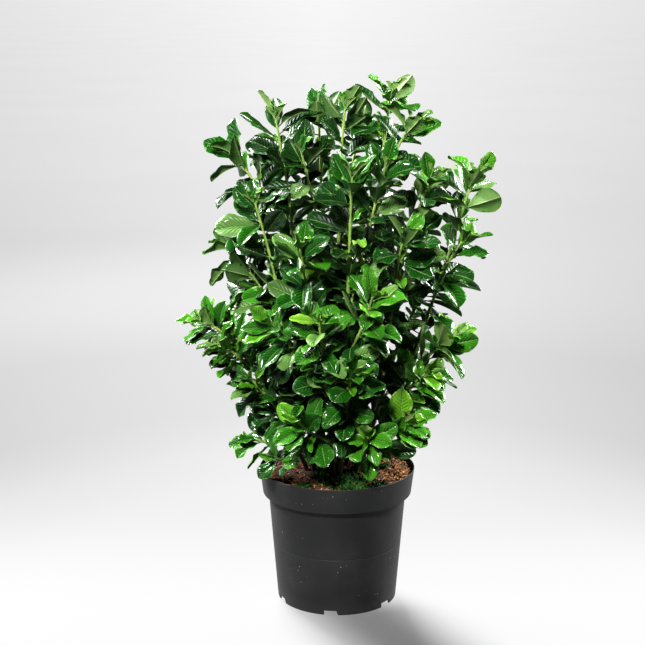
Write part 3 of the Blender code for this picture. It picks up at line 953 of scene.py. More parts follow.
@dataclass
class PottingSoil:
    """The soil: a low crumbly mound that dips to the left, filling the pot to just under its rim."""

    pot: NurseryPot
    node: str = "potting_soil"
    gap: float = 0.0003
    level: float = 0.238
    relief: float = 0.0016
    lump_turns: Span = (70, 60)
    lump_starts: Span = (1.0, -0.6)
    mound: float = 0.004
    left_dip: float = 0.004
    crumb_height: float = 0.0022
    coarse: Span = (70, 3.0)
    fine: Span = (240, 9.0)
    fine_share: float = 0.5
    edge_width: float = 0.012
    edge_crumbs: float = 0.25
    ragged: Span = (90, 5.0)
    ragged_share: float = 0.35
    moss_fringe: Span = (1.15, 0.70)
    moss_spots: tuple[tuple[float, float, float], ...] = (
        (0.012, -0.082, 0.044),
        (0.036, -0.106, 0.030),
        (-0.010, -0.046, 0.036),
        (0.072, -0.098, 0.018),
        (0.086, 0.004, 0.016),
        (-0.058, -0.094, 0.014),
        (-0.050, 0.070, 0.030),
    )
    rings: int = 60
    sides: int = 160
    sharp_angle: float = 60.0

    @property
    def ledge(self) -> float:
        """Height of the step where the soil widens into the pot's collar."""
        return self.pot.height - self.pot.collar_depth + self.pot.wall + self.gap

    @property
    def rim(self) -> float:
        """Radius of the soil's top edge.

        Returns:
            The radius.
        """
        pot, share = self.pot, (self.level - self.ledge) / self.pot.collar_depth
        outside = pot.collar_foot_radius + (pot.rim_radius - pot.collar_foot_radius) * share
        return outside - pot.wall - 2 * self.gap

    def height_at(self, x: float, y: float) -> float:
        """Level of the soil's even surface at a place, as the packed soil has it.

        Args:
            x: How far right of the axis.
            y: How far behind it.

        Returns:
            The height above the ground.
        """
        mound = self.mound * (1.0 - math.hypot(x, y) / self.pot.rim_radius)
        dip = self.left_dip * max(0.0, -x / self.pot.rim_radius)
        turns, starts = self.lump_turns, self.lump_starts
        lumps = self.relief * math.sin(turns[0] * x + starts[0]) * math.cos(turns[1] * y + starts[1])
        return self.level + mound - dip + lumps

    def noise_at(self, x: float, y: float, lumps: Span) -> float:
        """Seeded noise at a place; lumps says how many lumps a metre has, and which layer is read."""
        return noise.noise(Vector((x * lumps[0], y * lumps[0], lumps[1])))

    def crumbs_at(self, x: float, y: float) -> float:
        """Level of the crumbly surface at a place.

        Args:
            x: How far right of the axis.
            y: How far behind it.

        Returns:
            The height above the ground.
        """
        edge = smooth_step(self.rim, self.rim - self.edge_width, math.hypot(x, y))
        crumbs = self.noise_at(x, y, self.coarse) + self.fine_share * self.noise_at(x, y, self.fine)
        kept = self.edge_crumbs + (1.0 - self.edge_crumbs) * edge
        return self.height_at(x, y) + self.crumb_height * crumbs * kept

    def moss_at(self, x: float, y: float) -> float:
        """How mossy the soil is at a place.

        Args:
            x: How far right of the axis.
            y: How far behind it.

        Returns:
            The moss's cover, from 0 to 1.
        """
        ragged = self.ragged_share * self.noise_at(x, y, self.ragged)
        cover = 0.0
        for spot_x, spot_y, radius in self.moss_spots:
            distance = math.hypot(x - spot_x, y - spot_y) / radius + ragged
            cover = max(cover, smooth_step(*self.moss_fringe, distance))
        return cover

    def profile(self) -> list[Corner]:
        """The soil's section, its top in fine rings, then its side and underside.

        Returns:
            Points of (radius, height) from the top's middle outwards, down and back to the axis.
        """
        pot = self.pot
        floor = pot.foot_height + pot.floor_thickness + self.gap
        inner = pot.wall + self.gap
        rise_radius = pot.centre_radius + pot.centre_rise_width
        return [
            *[(self.rim * ring / self.rings, self.level) for ring in range(self.rings + 1)],
            (pot.collar_foot_radius - inner - self.gap, self.ledge),
            (pot.body_top_radius - inner - self.gap, self.ledge),
            (pot.body_radius(floor) - inner - self.gap, floor),
            (rise_radius - inner, floor),
            (pot.centre_radius - inner, pot.floor_thickness + self.gap),
            (0.0, pot.floor_thickness + self.gap),
        ]

    def build(self) -> None:
        """Turns the body, crumbles its top and dresses it."""
        mesh = lathe("soil_body", self.profile(), self.sides)
        tones = mesh.attributes.new("soil_tone", "FLOAT_VECTOR", "POINT")
        for number, vertex in enumerate(mesh.vertices):
            if vertex.co.z > self.level - self.gap:
                x, y = vertex.co.x, vertex.co.y
                vertex.co.z = self.crumbs_at(x, y)
                tones.data[number].vector = (self.moss_at(x, y), 0.0, 0.0)
        mesh.shade_smooth()
        mesh.set_sharp_from_angle(angle=math.radians(self.sharp_angle))
        finished_piece("soil_body", mesh, [SoilFinish().material()], self.node)


class Heap:
    """Many small forms gathered into one mesh, each with its own random number."""

    def __init__(self) -> None:
        """Starts an empty heap."""
        self.points: list[Vector] = []
        self.faces: list[Face] = []
        self.tones: list[Colour] = []

    def add(self, form: Form, tone: float) -> None:
        """Adds one form.

        Args:
            form: Its points and faces.
            tone: Its random number, from 0 to 1.
        """
        points, faces = form
        start = len(self.points)
        self.points += points
        self.faces += [tuple(start + i for i in face) for face in faces]
        self.tones += [(tone, 0.0, 0.0)] * len(points)

    def mesh(self, name: str) -> Mesh:
        """The heap as one mesh.

        Args:
            name: The mesh's name.

        Returns:
            The mesh, which carries soil_tone.
        """
        mesh = bpy.data.meshes.new(name)
        mesh.from_pydata(self.points, [], self.faces)
        tones = mesh.attributes.new("soil_tone", "FLOAT_VECTOR", "POINT")
        tones.data.foreach_set("vector", np.array(self.tones, np.float32).ravel())
        return mesh


LOOSE_FINISHES = {
    "bark_chips": ScatterFinish(
        "bark_chips",
        ((0.008, 0.004, 0.003), (0.060, 0.018, 0.009), (0.260, 0.085, 0.028), (0.62, 0.30, 0.11)),
    ),
    "coconut_fibres": ScatterFinish(
        "coconut_fibres", ((0.080, 0.030, 0.012), (0.320, 0.125, 0.036), (0.64, 0.35, 0.12))
    ),
    "white_grains": ScatterFinish("white_grains", ((0.42, 0.39, 0.34), (0.74, 0.72, 0.68))),
    "soil_moss": ScatterFinish("moss", ((0.004, 0.034, 0.003), (0.012, 0.090, 0.006), (0.050, 0.190, 0.012))),
}


@dataclass
class SoilDressing:
    """Loose bits on the soil: bark chips, coconut fibres, white grains and moss."""

    soil: PottingSoil
    chips: int = 1500
    chip_margin: float = 0.005
    chip_size: Span = (0.0024, 0.0085)
    chip_width: Span = (0.30, 0.75)
    chip_thickness: Span = (0.12, 0.3)
    thinnest_chip: float = 0.0007
    chip_tilt: float = 0.35
    chip_corners: int = 5
    corner_shift: float = 0.25
    chip_lift: float = 0.4
    mossy_place: float = 0.55
    hidden_share: float = 0.85
    chip_tones: Span = (0.65, 0.6)
    dark_chips: float = 2.2
    fibres: int = 1500
    fibre_margin: float = 0.006
    fibre_length: Span = (0.006, 0.022)
    fibre_radius: float = 0.00028
    fibre_bend: float = 1.4
    fibre_arch: float = 0.0022
    fibre_steps: int = 6
    fibre_moss: float = 0.5
    fibre_tones: Span = (0.65, 0.5)
    rim_gap: float = 0.001
    grains: int = 150
    grain_margin: float = 0.003
    grain_radius: Span = (0.0006, 0.0014)
    grain_form: Span = (0.7, 1.15)
    moss_blades: int = 6500
    moss_margin: float = 0.004
    moss_length: Span = (0.003, 0.010)
    moss_width: Span = (0.16, 0.30)
    moss_lean: Span = (0.2, 1.3)
    moss_sink: float = 0.0006
    lit_reach: Span = (0.3, 0.9)
    lit_facing: Span = (-0.3, 0.9)
    lit_heading: Span = (0.75, -0.66)
    rng: random.Random = field(default_factory=lambda: chance_of("soil"))

    def spot(self, margin: float) -> Vector:
        """A random place on the soil's surface.

        Args:
            margin: How far it stays from the soil's edge.

        Returns:
            The place.
        """
        radius = (self.soil.rim - margin) * math.sqrt(self.rng.random())
        angle = self.rng.uniform(0.0, FULL_TURN)
        x, y = radius * math.cos(angle), radius * math.sin(angle)
        return Vector((x, y, self.soil.crumbs_at(x, y)))

    def painted_light_side(self, place: Vector) -> float:
        """How pale the bits are at a place from painted light: most along the front right rim.

        Args:
            place: The place.

        Returns:
            Their paleness, from 0 to 1.
        """
        reach = smooth_step(*self.lit_reach, math.hypot(place.x, place.y) / self.soil.rim)
        right, back = self.lit_heading
        facing = smooth_step(*self.lit_facing, (right * place.x + back * place.y) / self.soil.rim)
        return reach * facing

    def chip(self, place: Vector) -> Form:
        """A flat broken piece of bark that lies at a slant.

        Args:
            place: Where it lies.

        Returns:
            Its points and faces.
        """
        rng = self.rng
        length = rng.uniform(*self.chip_size)
        width = length * rng.uniform(*self.chip_width)
        thick = max(self.thinnest_chip, length * rng.uniform(*self.chip_thickness))
        turn = Matrix.Rotation(rng.uniform(0, FULL_TURN), 3, "Z")
        tilt = Matrix.Rotation(rng.gauss(0.0, self.chip_tilt), 3, "X")
        tilt = tilt @ Matrix.Rotation(rng.gauss(0.0, self.chip_tilt), 3, "Y")
        corners = self.chip_corners
        points = []
        for level in (-0.5, 0.5):
            for i in range(corners):
                angle = FULL_TURN * (i + rng.uniform(-self.corner_shift, self.corner_shift)) / corners
                local = Vector((math.cos(angle) * length / 2, math.sin(angle) * width / 2, level * thick))
                points.append(place + turn @ (tilt @ local) + UP * thick * self.chip_lift)
        faces = [tuple(reversed(range(corners))), tuple(range(corners, 2 * corners))]
        faces += [(i, (i + 1) % corners, corners + (i + 1) % corners, corners + i) for i in range(corners)]
        return points, faces

    def fibre(self, place: Vector) -> Form:
        """A curved coconut fibre that lies on the crumbs.

        Args:
            place: Where it starts.

        Returns:
            Its points and faces.
        """
        rng = self.rng
        length = rng.uniform(*self.fibre_length)
        heading = rng.uniform(0.0, FULL_TURN)
        bend = rng.uniform(-self.fibre_bend, self.fibre_bend)
        arch = rng.uniform(0.0, self.fibre_arch)
        steps = self.fibre_steps
        limit = self.soil.rim - self.rim_gap
        centres = []
        spot = Vector((place.x, place.y, 0.0))
        for i in range(steps + 1):
            angle = heading + bend * (i / steps - 0.5)
            if i:
                spot = spot + Vector((math.cos(angle), math.sin(angle), 0.0)) * length / steps
            if spot.length > limit:
                spot = spot.normalized() * limit
            rise = arch * math.sin(math.pi * i / steps) + self.fibre_radius
            centres.append(Vector((spot.x, spot.y, self.soil.crumbs_at(*spot.xy) + rise)))
        return tube(centres, [self.fibre_radius] * len(centres), 3)

    def white_grain(self, place: Vector) -> Form:
        """A small uneven grain, partly sunk into the crumbs.

        Args:
            place: Where it lies.

        Returns:
            Its points and faces.
        """
        radius = self.rng.uniform(*self.grain_radius)
        middle = place + UP * radius * self.chip_lift
        tool = bmesh.new()
        bmesh.ops.create_icosphere(tool, subdivisions=1, radius=radius)
        points = [middle + vertex.co * self.rng.uniform(*self.grain_form) for vertex in tool.verts]
        faces = [tuple(vertex.index for vertex in face.verts) for face in tool.faces]
        tool.free()
        return points, faces

    def moss_blade(self, place: Vector) -> Form:
        """A tiny pointed leaf of moss.

        Args:
            place: Where it is rooted.

        Returns:
            Its points and faces.
        """
        rng = self.rng
        length = rng.uniform(*self.moss_length)
        width = length * rng.uniform(*self.moss_width)
        angle = rng.uniform(0.0, FULL_TURN)
        lean = rng.uniform(*self.moss_lean)
        out = Vector((math.cos(angle), math.sin(angle), 0.0))
        side = Vector((-out.y, out.x, 0.0))
        heading = (UP + out * lean).normalized()
        front = side.cross(heading)
        root = place - UP * self.moss_sink
        middle = root + heading * length * 0.5
        points = [
            root,
            middle - side * width,
            middle + front * width * 0.5,
            middle + side * width,
            middle - front * width * 0.3,
            root + heading * length + out * length * 0.25,
        ]
        faces = [(0, 2, 1), (0, 3, 2), (0, 4, 3), (0, 1, 4), (5, 1, 2), (5, 2, 3), (5, 3, 4), (5, 4, 1)]
        return points, faces

    def build(self) -> None:
        """Scatters every kind of bit, each kind as one piece."""
        rng = self.rng
        chips, fibres, grains, moss = Heap(), Heap(), Heap(), Heap()
        for _ in range(self.chips):
            place = self.spot(self.chip_margin)
            mossy = self.soil.moss_at(*place.xy)
            if mossy > self.mossy_place and rng.random() < self.hidden_share:
                continue
            # Chips are painted paler where light falls along the front right rim.
            chance, lit = self.chip_tones
            tone = min(1.0, rng.random() ** self.dark_chips * chance + lit * self.painted_light_side(place))
            chips.add(self.chip(place), tone)
        for _ in range(self.fibres):
            place = self.spot(self.fibre_margin)
            if self.soil.moss_at(*place.xy) > self.fibre_moss:
                continue
            # Fibres are painted paler where light falls along the front right rim.
            chance, lit = self.fibre_tones
            form = self.fibre(place)
            fibres.add(form, min(1.0, chance * rng.random() + lit * self.painted_light_side(place)))
        for _ in range(self.grains):
            place = self.spot(self.grain_margin)
            grains.add(self.white_grain(place), rng.random())
        for _ in range(self.moss_blades):
            place = self.spot(self.moss_margin)
            if rng.random() < self.soil.moss_at(*place.xy):
                moss.add(self.moss_blade(place), rng.random())
        for piece, heap in zip(LOOSE_FINISHES, (chips, fibres, grains, moss)):
            material = LOOSE_FINISHES[piece].material()
            finished_piece(piece, heap.mesh(piece), [material])


def tube(centres: Route, radii: Sequence[float], sides: int) -> Form:
    """A closed tube along a line of points.

    Args:
        centres: The line's points.
        radii: The tube's radius at each.
        sides: How many faces go round.

    Returns:
        Its points and faces.
    """
    points: list[Vector] = []
    faces: list[Face] = []
    first = Vector((1.0, 0.0, 0.0))
    for i, centre in enumerate(centres):
        ahead = centres[min(i + 1, len(centres) - 1)] - centres[max(i - 1, 0)]
        direction = ahead.normalized()
        first = first - direction * first.dot(direction)
        if first.length < SHORTEST_SIDEWAYS:
            first = direction.orthogonal()
        first.normalize()
        second = direction.cross(first)
        for k in range(sides):
            turn = FULL_TURN * k / sides
            points.append(centre + (first * math.cos(turn) + second * math.sin(turn)) * radii[i])
        if i:
            start = (i - 1) * sides
            faces += [
                (start + k, start + (k + 1) % sides, start + sides + (k + 1) % sides, start + sides + k)
                for k in range(sides)
            ]
    last = (len(centres) - 1) * sides
    faces.append(tuple(reversed(range(sides))))
    faces.append(tuple(range(last, last + sides)))
    return points, faces


@dataclass(frozen=True)
class Shoot:
    """A leafy shoot: where it ends, in millimetres, how it leans out there, and its leaves."""

    tip: tuple[float, float, float]
    lean: float
    leaves: int
    fork: float = 0.0
    size: float = 1.0

    @property
    def end(self) -> Vector:
        """Its tip in metres."""
        return Vector(self.tip) / MILLIMETRES_PER_METRE


@dataclass(frozen=True)
class Leaf:
    """One leaf: its root in the stem, its heading, its top side and its sizes."""

    root: Vector
    heading: Vector
    top: Vector
    length: float
    width: float
    droop: float
    wave: float
    fold: float
    youth: float = 0.0


STEMS: dict[str, tuple[Shoot, ...]] = {
    "stem_top_left": (
        Shoot((-106, -30, 872), 0.2, 13, size=1.15),
        Shoot((-178, 10, 808), 0.7, 7, 0.62, 1.12),
    ),
    "stem_upper_left": (Shoot((-140, -92, 738), 0.35, 12), Shoot((-168, -20, 622), 0.9, 5, 0.55, 1.05)),
    "stem_left_spray": (
        Shoot((-240, -30, 522), 2.2, 8, size=0.92),
        Shoot((-206, -56, 482), 2.0, 5, 0.6, 0.85),
    ),
    "stem_top_middle": (Shoot((-34, 50, 878), 0.1, 11), Shoot((-62, -66, 822), 0.3, 7, 0.62)),
    "stem_top_centre": (Shoot((12, 0, 889), 0.1, 12), Shoot((40, 84, 850), 0.5, 6, 0.6)),
    "stem_top_right": (Shoot((92, 20, 915), 0.15, 14), Shoot((124, -24, 862), 0.7, 8, 0.66)),
    "stem_right": (Shoot((238, 20, 770), 0.3, 12, size=1.12), Shoot((220, -24, 666), 0.8, 9, 0.6)),
    "stem_right_centre": (Shoot((158, -52, 776), 0.45, 11), Shoot((112, -130, 690), 0.5, 7, 0.6)),
    "stem_front_long": (Shoot((22, -148, 790), 0.2, 13), Shoot((78, -112, 802), 0.4, 7, 0.55)),
    "stem_front_left": (
        Shoot((-64, -150, 672), 0.4, 10, size=0.95),
        Shoot((-112, -150, 545), 1.0, 7, 0.45, 0.92),
    ),
    "stem_front_middle": (
        Shoot((-32, -196, 556), 0.6, 9, size=0.9),
        Shoot((56, -196, 600), 0.6, 7, 0.5, 0.95),
    ),
    "stem_front_low": (
        Shoot((20, -190, 466), 0.7, 10, size=0.88),
        Shoot((-66, -160, 372), 1.2, 6, 0.3, 0.9),
    ),
    "stem_right_low": (
        Shoot((200, -40, 494), 1.3, 8, size=1.08),
        Shoot((150, -106, 444), 1.2, 6, 0.5, 0.92),
    ),
    "stem_low_left": (
        Shoot((-150, -70, 424), 0.9, 8, size=0.92),
        Shoot((-150, -40, 306), 2.2, 5, 0.35, 0.88),
        Shoot((-108, -108, 292), 1.9, 5, 0.3, 0.8),
    ),
    "stem_low_right": (
        Shoot((120, -112, 364), 1.0, 8, size=0.95),
        Shoot((52, -150, 344), 1.4, 5, 0.4, 0.85),
    ),
    "stem_back_left": (Shoot((-118, 88, 800), 0.4, 11), Shoot((-196, 84, 640), 1.0, 7, 0.5)),
    "stem_back": (Shoot((-30, 140, 770), 0.4, 11), Shoot((-84, 168, 650), 0.8, 7, 0.5)),
    "stem_back_right": (Shoot((84, 116, 826), 0.4, 11), Shoot((168, 108, 720), 0.9, 7, 0.55)),
    "stem_back_middle": (Shoot((66, 176, 610), 0.7, 9), Shoot((6, 196, 480), 1.0, 7, 0.45)),
    "stem_back_low_left": (Shoot((-168, 70, 474), 1.0, 8), Shoot((-100, 140, 390), 1.2, 6, 0.35)),
    "stem_back_low_right": (Shoot((170, 84, 560), 0.9, 8), Shoot((124, 128, 390), 1.3, 6, 0.35)),
}

FRESH_STEMS = ("stem_top_right", "stem_front_middle", "stem_low_right", "stem_right", "stem_right_low")
MIDDLE_STEMS = ("stem_front_left", "stem_left_spray", "stem_front_low", "stem_right_centre")
MIDDLE_STEMS += ("stem_front_long",)
TONES = dict.fromkeys(FRESH_STEMS, Tone.FRESH) | dict.fromkeys(MIDDLE_STEMS, Tone.MIDDLE)


@dataclass
class Twig:
    """A stem's leader or side twig: its route, its number among the tubes, and its leaves."""

    name: str
    number: int
    shoot: Shoot
    route: list[Vector]
    thick: float
    tube: int
    leaves: list[Leaf] = field(default_factory=list)

    @property
    def words(self) -> tuple[str, int]:
        """What its sources of chance are seeded with."""
        return self.name, self.number

    @property
    def length(self) -> float:
        """Length of its route."""
        return route_length(self.route)

    @property
    def tone(self) -> float:
        """How young its stem's growth looks."""
        return TONES.get(self.name, Tone.DEEP).value

    def smooth_point(self, distance: float) -> Vector:
        """The point on the smooth curve through the route's points.

        Args:
            distance: How far along the route.

        Returns:
            The point.
        """
        route = self.route
        for i in range(len(route) - 1):
            span = (route[i + 1] - route[i]).length
            if distance <= span or i == len(route) - 2:
                break
            distance -= span
        t = min(1.0, max(0.0, distance / span))
        near, far = route[i], route[i + 1]
        before = route[i - 1] if i else near * 2 - far
        after = route[i + 2] if i + 2 < len(route) else far * 2 - near
        return 0.5 * (
            near * 2
            + (far - before) * t
            + (before * 2 - near * 5 + far * 4 - after) * t**2
            + (near * 3 - before - far * 3 + after) * t**3
        )

    def distance_of(self, place: Vector) -> float:
        """How far along the route the point nearest a place is.

        Args:
            place: The place.

        Returns:
            The distance.
        """
        best = (math.inf, 0.0)
        travelled = 0.0
        for a, b in zip(self.route, self.route[1:]):
            span = b - a
            t = min(1.0, max(0.0, (place - a).dot(span) / span.length_squared))
            best = min(best, ((a + span * t - place).length, travelled + span.length * t))
            travelled += span.length
        return best[1]


@dataclass
class GrowthRule:
    """How the shrub grows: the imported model's own rule for its stems and leaves."""

    soil: PottingSoil
    stem_radius: float = 0.0042
    stem_tip_radius: float = 0.0014
    twig_radius: float = 0.0022
    stem_sides: int = 4
    hole_depth: float = 0.030
    foot_spread: float = 0.18
    foot_shift: float = 0.030
    tallest: float = 0.95
    straight_foot: float = 0.006
    stem_steps: int = 6
    twig_steps: int = 4
    leaf_length: float = 0.075
    leaf_ratio: float = 0.57
    internode: float = 0.024
    tip_internode: float = 0.009
    tip_leaves: int = 4
    first_leaf: float = 0.004
    golden_angle: float = 137.5
    young_pitch: float = 22.0
    old_pitch: float = 54.0
    pitch_leaves: int = 5
    pitch_start: float = 0.4
    petiole_end: float = 0.12
    petiole_half_width: float = 0.0010
    blade_stations: tuple[float, ...] = (0.42, 0.83)
    rib_thickness: float = 0.0015
    fold_range: Span = (8.0, 30.0)
    bends: tuple[float, ...] = (-22.0, 8.0, 18.0, 30.0, 42.0)
    outward_pull: float = 0.7
    sway: float = 0.42
    turned_over: float = 0.16
    wave: float = 0.0012
    front_light: float = 0.7
    sunny_depth: float = 0.20
    sunny_middle: float = 0.5
    sky_light: float = 0.8
    outward_light: float = 3.0
    clearance: float = 0.0005
    rim_margin: float = 0.008
    rim_lift: float = 0.004
    tries: int = 10
    foot_rise: float = 0.10
    rise_reach: float = 0.38
    approach_reach: float = 0.36
    twig_reach: float = 0.34
    fork_lean: float = 0.5
    order_chance: float = 0.2
    pitch_chance: float = 9.0
    pitch_retry: float = 3.0
    turn_chance: float = 12.0
    turn_retry: float = 14.0
    turned_trust: Span = (-0.2, 0.25)
    trust_range: Span = (0.55, 1.0)
    flatten_range: Span = (0.1, 0.9)
    tip_share: float = 0.66
    grown_leaves: int = 4
    length_range: Span = (0.86, 1.12)
    width_range: Span = (0.84, 1.08)
    bend_range: Span = (0.8, 1.2)
    retry_shrink: float = 0.975
    tip_lift: float = 0.05

    def tip_heading(self, shoot: Shoot) -> Vector:
        """Direction of a shoot at its tip: up, and leaning out from the pot's axis."""
        outward = Vector((shoot.tip[0], shoot.tip[1], 0.0)).normalized()
        return (outward * shoot.lean + UP).normalized()

    def foot(self, leader: Shoot) -> Vector:
        """Where a stem leaves the soil: towards its tip, and further out where the stem is low.

        Args:
            leader: The stem's first shoot.

        Returns:
            The place, as a level vector from the pot's axis.
        """
        outward = Vector((leader.tip[0], leader.tip[1], 0.0)) / MILLIMETRES_PER_METRE
        shift = self.foot_shift * (1.0 - leader.tip[2] / MILLIMETRES_PER_METRE / self.tallest)
        return outward * self.foot_spread + outward.normalized() * shift

    def leader_route(self, leader: Shoot) -> list[Vector]:
        """Points of a leader: straight out of its hole, then up and out to its tip.

        Args:
            leader: The stem's first shoot.

        Returns:
            Its points, from the bottom of the hole.
        """
        foot = self.foot(leader)
        level = self.soil.height_at(*foot.xy)
        bottom = Vector((foot.x, foot.y, self.soil.level - self.hole_depth + self.soil.gap))
        start = Vector((foot.x, foot.y, level + self.straight_foot))
        tip = leader.end
        reach = (tip - start).length
        rise = start + Vector((foot.x, foot.y, self.foot_rise)).normalized() * reach * self.rise_reach
        approach = tip - self.tip_heading(leader) * reach * self.approach_reach
        return [bottom, *bezier(start, rise, approach, tip, self.stem_steps)]

    def twig_route(self, shoot: Shoot, leader: Route) -> list[Vector]:
        """Points of a side twig, from the leader's axis to the twig's tip.

        Args:
            shoot: The twig.
            leader: The leader's route.

        Returns:
            Its points.
        """
        start, direction = along(leader, route_length(leader) * shoot.fork)
        tip = shoot.end
        reach = (tip - start).length
        outward = (tip - start).normalized()
        rise = start + (direction * self.fork_lean + outward).normalized() * reach * self.twig_reach
        approach = tip - self.tip_heading(shoot) * reach * self.twig_reach
        return bezier(start, rise, approach, tip, self.twig_steps)

    def radius_at(self, route: Route, distance: float, thick: float) -> float:
        """Radius of a stem at a distance along its route, tapering to its tip."""
        share = distance / route_length(route)
        return thick + (self.stem_tip_radius - thick) * share

    def light_direction(self, place: Vector) -> Vector:
        """Where a leaf turns its top side: up, out of the bush, and to the sunny front.

        Args:
            place: The leaf's root.

        Returns:
            The direction.
        """
        outward = Vector((place.x, place.y, 0.0))
        sunny = self.front_light * min(1.0, max(0.0, self.sunny_middle - place.y / self.sunny_depth))
        return (Vector((0.0, -sunny, self.sky_light)) + outward * self.outward_light).normalized()

    def leaf_try(
        self, twig: Twig, number: float, start_angle: float, rng: random.Random, attempt: int
    ) -> Leaf:
        """One try at a leaf.

        Args:
            twig: What it grows on.
            number: Its place, from 0 at the tip.
            start_angle: Where round the twig the first leaf stands.
            rng: The leaf's own source of chance.
            attempt: How many tries went before.

        Returns:
            The leaf.
        """
        crowded = min(number, self.tip_leaves)
        distance = self.first_leaf + crowded * self.tip_internode
        chance = rng.uniform(-self.order_chance, self.order_chance)
        distance += self.internode * max(0.0, number - crowded + chance)
        root, direction = along(twig.route, twig.length - distance)
        spread = (number + self.pitch_start) / self.pitch_leaves
        pitch = self.young_pitch + (self.old_pitch - self.young_pitch) * min(1.0, spread)
        pitch += rng.uniform(-self.pitch_chance, self.pitch_chance)
        pitch = math.radians(pitch + attempt * rng.uniform(-self.pitch_retry, self.pitch_retry))
        angle = start_angle + number * self.golden_angle + rng.uniform(-self.turn_chance, self.turn_chance)
        angle += (attempt + 1) // 2 * self.turn_retry * (-1) ** attempt
        first = direction.cross(BACK).normalized()
        second = direction.cross(first)
        turn = math.radians(angle)
        radial = first * math.cos(turn) + second * math.sin(turn)
        outward = Vector((root.x, root.y, 0.0))
        radial = (radial + outward * self.outward_pull).normalized()
        natural = (direction * math.cos(pitch) + radial * math.sin(pitch)).normalized()
        inner_side = direction * math.sin(pitch) - radial * math.cos(pitch)
        sway = Vector([rng.gauss(0.0, self.sway) for _ in range(3)])
        light = (self.light_direction(root) + sway).normalized()
        flatten = rng.uniform(*self.flatten_range)
        heading = (natural - light * natural.dot(light) * flatten).normalized()
        turned = rng.random() < self.turned_over
        trust = rng.uniform(*(self.turned_trust if turned else self.trust_range))
        top = inner_side * (1.0 - trust) + light * trust
        growth = min(1.0, self.tip_share + (1.0 - self.tip_share) * (number + 1) / self.grown_leaves)
        length = self.leaf_length * twig.shoot.size * growth * rng.uniform(*self.length_range)
        length *= self.retry_shrink**attempt
        width = length * self.leaf_ratio * rng.uniform(*self.width_range)
        droop = math.radians(rng.choice(self.bends) * rng.uniform(*self.bend_range))
        wave = self.wave * rng.choice((-1, 1))
        fold = math.radians(rng.uniform(*self.fold_range))
        return Leaf(root, heading, top, length, width, droop, wave, fold)

    def leaf_shape(self, leaf: Leaf, petiole: bool = True) -> Form:
        """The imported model's leaf, swollen by the clearance.

        Args:
            leaf: The leaf.
            petiole: Whether it has its stalk.

        Returns:
            Its points and triangles.
        """
        margin = self.clearance
        points = []
        for number, share in enumerate([self.petiole_end, *self.blade_stations]):
            centre, side, top = leaf_section(leaf, share)
            if number:
                blade_share = (share - self.petiole_end) / (1.0 - self.petiole_end)
                half = leaf.width / 2 * outline(blade_share) + margin
            else:
                half = self.petiole_half_width + margin
            wave = leaf.wave * (number - 1) * 2 if number else 0.0
            across = side * half * math.cos(leaf.fold)
            lift = top * half * math.sin(leaf.fold)
            rib = top * (self.rib_thickness / 2 + margin)
            points += [centre - across + lift + top * wave, centre + rib]
            points += [centre + across + lift - top * wave, centre - rib]
        tip, _, tip_top = leaf_section(leaf, 1.0 + margin / leaf.length)
        points.append(tip + tip_top * leaf.width * self.tip_lift)
        faces: list[Face] = []
        end = len(points) - 1
        last = end - 4
        for near in range(0, last, 4):
            faces += [tuple(near + i for i in face) for face in BLADE_FACES]
        faces += [(last + i, end, last + (i + 1) % 4) for i in range(4)]
        if petiole:
            start = len(points)
            points.append(leaf.root - leaf.heading * self.petiole_half_width)
            faces += [(start, i, (i + 1) % 4) for i in range(4)]
        else:
            faces += [(0, 1, 2), (0, 2, 3)]
        return points, faces

    def clear_of_pot(self, points: Sequence[Vector]) -> bool:
        """Whether a leaf's points keep above the soil and the rim.

        Args:
            points: The leaf's points.

        Returns:
            True where each is beside the pot or above it.
        """
        limit = self.soil.pot.rim_radius + self.rim_margin
        floor = self.soil.pot.height + self.rim_lift
        return all(math.hypot(point.x, point.y) >= limit or point.z >= floor for point in points)

    def tube_room(self, route: Route, thick: float) -> Form:
        """What stands for a stem when leaves look for room.

        Args:
            route: The stem's route.
            thick: Its radius at the start.

        Returns:
            Points and triangles of a tube that is wider than the stem by the clearance.
        """
        points = []
        faces: list[Face] = []
        distance = 0.0
        sides = self.stem_sides
        for i, point in enumerate(route):
            distance += (point - route[i - 1]).length if i else 0.0
            direction = (route[min(i + 1, len(route) - 1)] - route[max(i - 1, 0)]).normalized()
            first = direction.cross(BACK).normalized()
            second = direction.cross(first)
            reach = self.radius_at(route, distance, thick) + self.clearance
            for k in range(sides):
                turn = FULL_TURN * k / sides
                points.append(point + first * reach * math.cos(turn) + second * reach * math.sin(turn))
            if i:
                for k in range(sides):
                    a = (i - 1) * sides + k
                    b = (i - 1) * sides + (k + 1) % sides
                    faces += [(a, b, b + sides), (a, b + sides, a + sides)]
        return points, faces


def bezier(start: Vector, rise: Vector, approach: Vector, end: Vector, steps: int) -> list[Vector]:
    """Points along a cubic curve, which heads for rise at first and comes in from approach."""
    shares = [(i / steps, 1.0 - i / steps) for i in range(steps + 1)]
    return [start * s**3 + rise * 3 * s * s * t + approach * 3 * s * t * t + end * t**3 for t, s in shares]


def along(route: Route, distance: float) -> tuple[Vector, Vector]:
    """Follows a route.

    Args:
        route: The route's points.
        distance: How far along it.

    Returns:
        The point there and the direction.
    """
    for a, b in zip(route, route[1:]):
        span = (b - a).length
        if distance <= span or b is route[-1]:
            break
        distance -= span
    return a.lerp(b, max(0.0, distance / span)), (b - a) / span


def route_length(route: Route) -> float:
    """Length of a route."""
    return sum((b - a).length for a, b in zip(route, route[1:]))


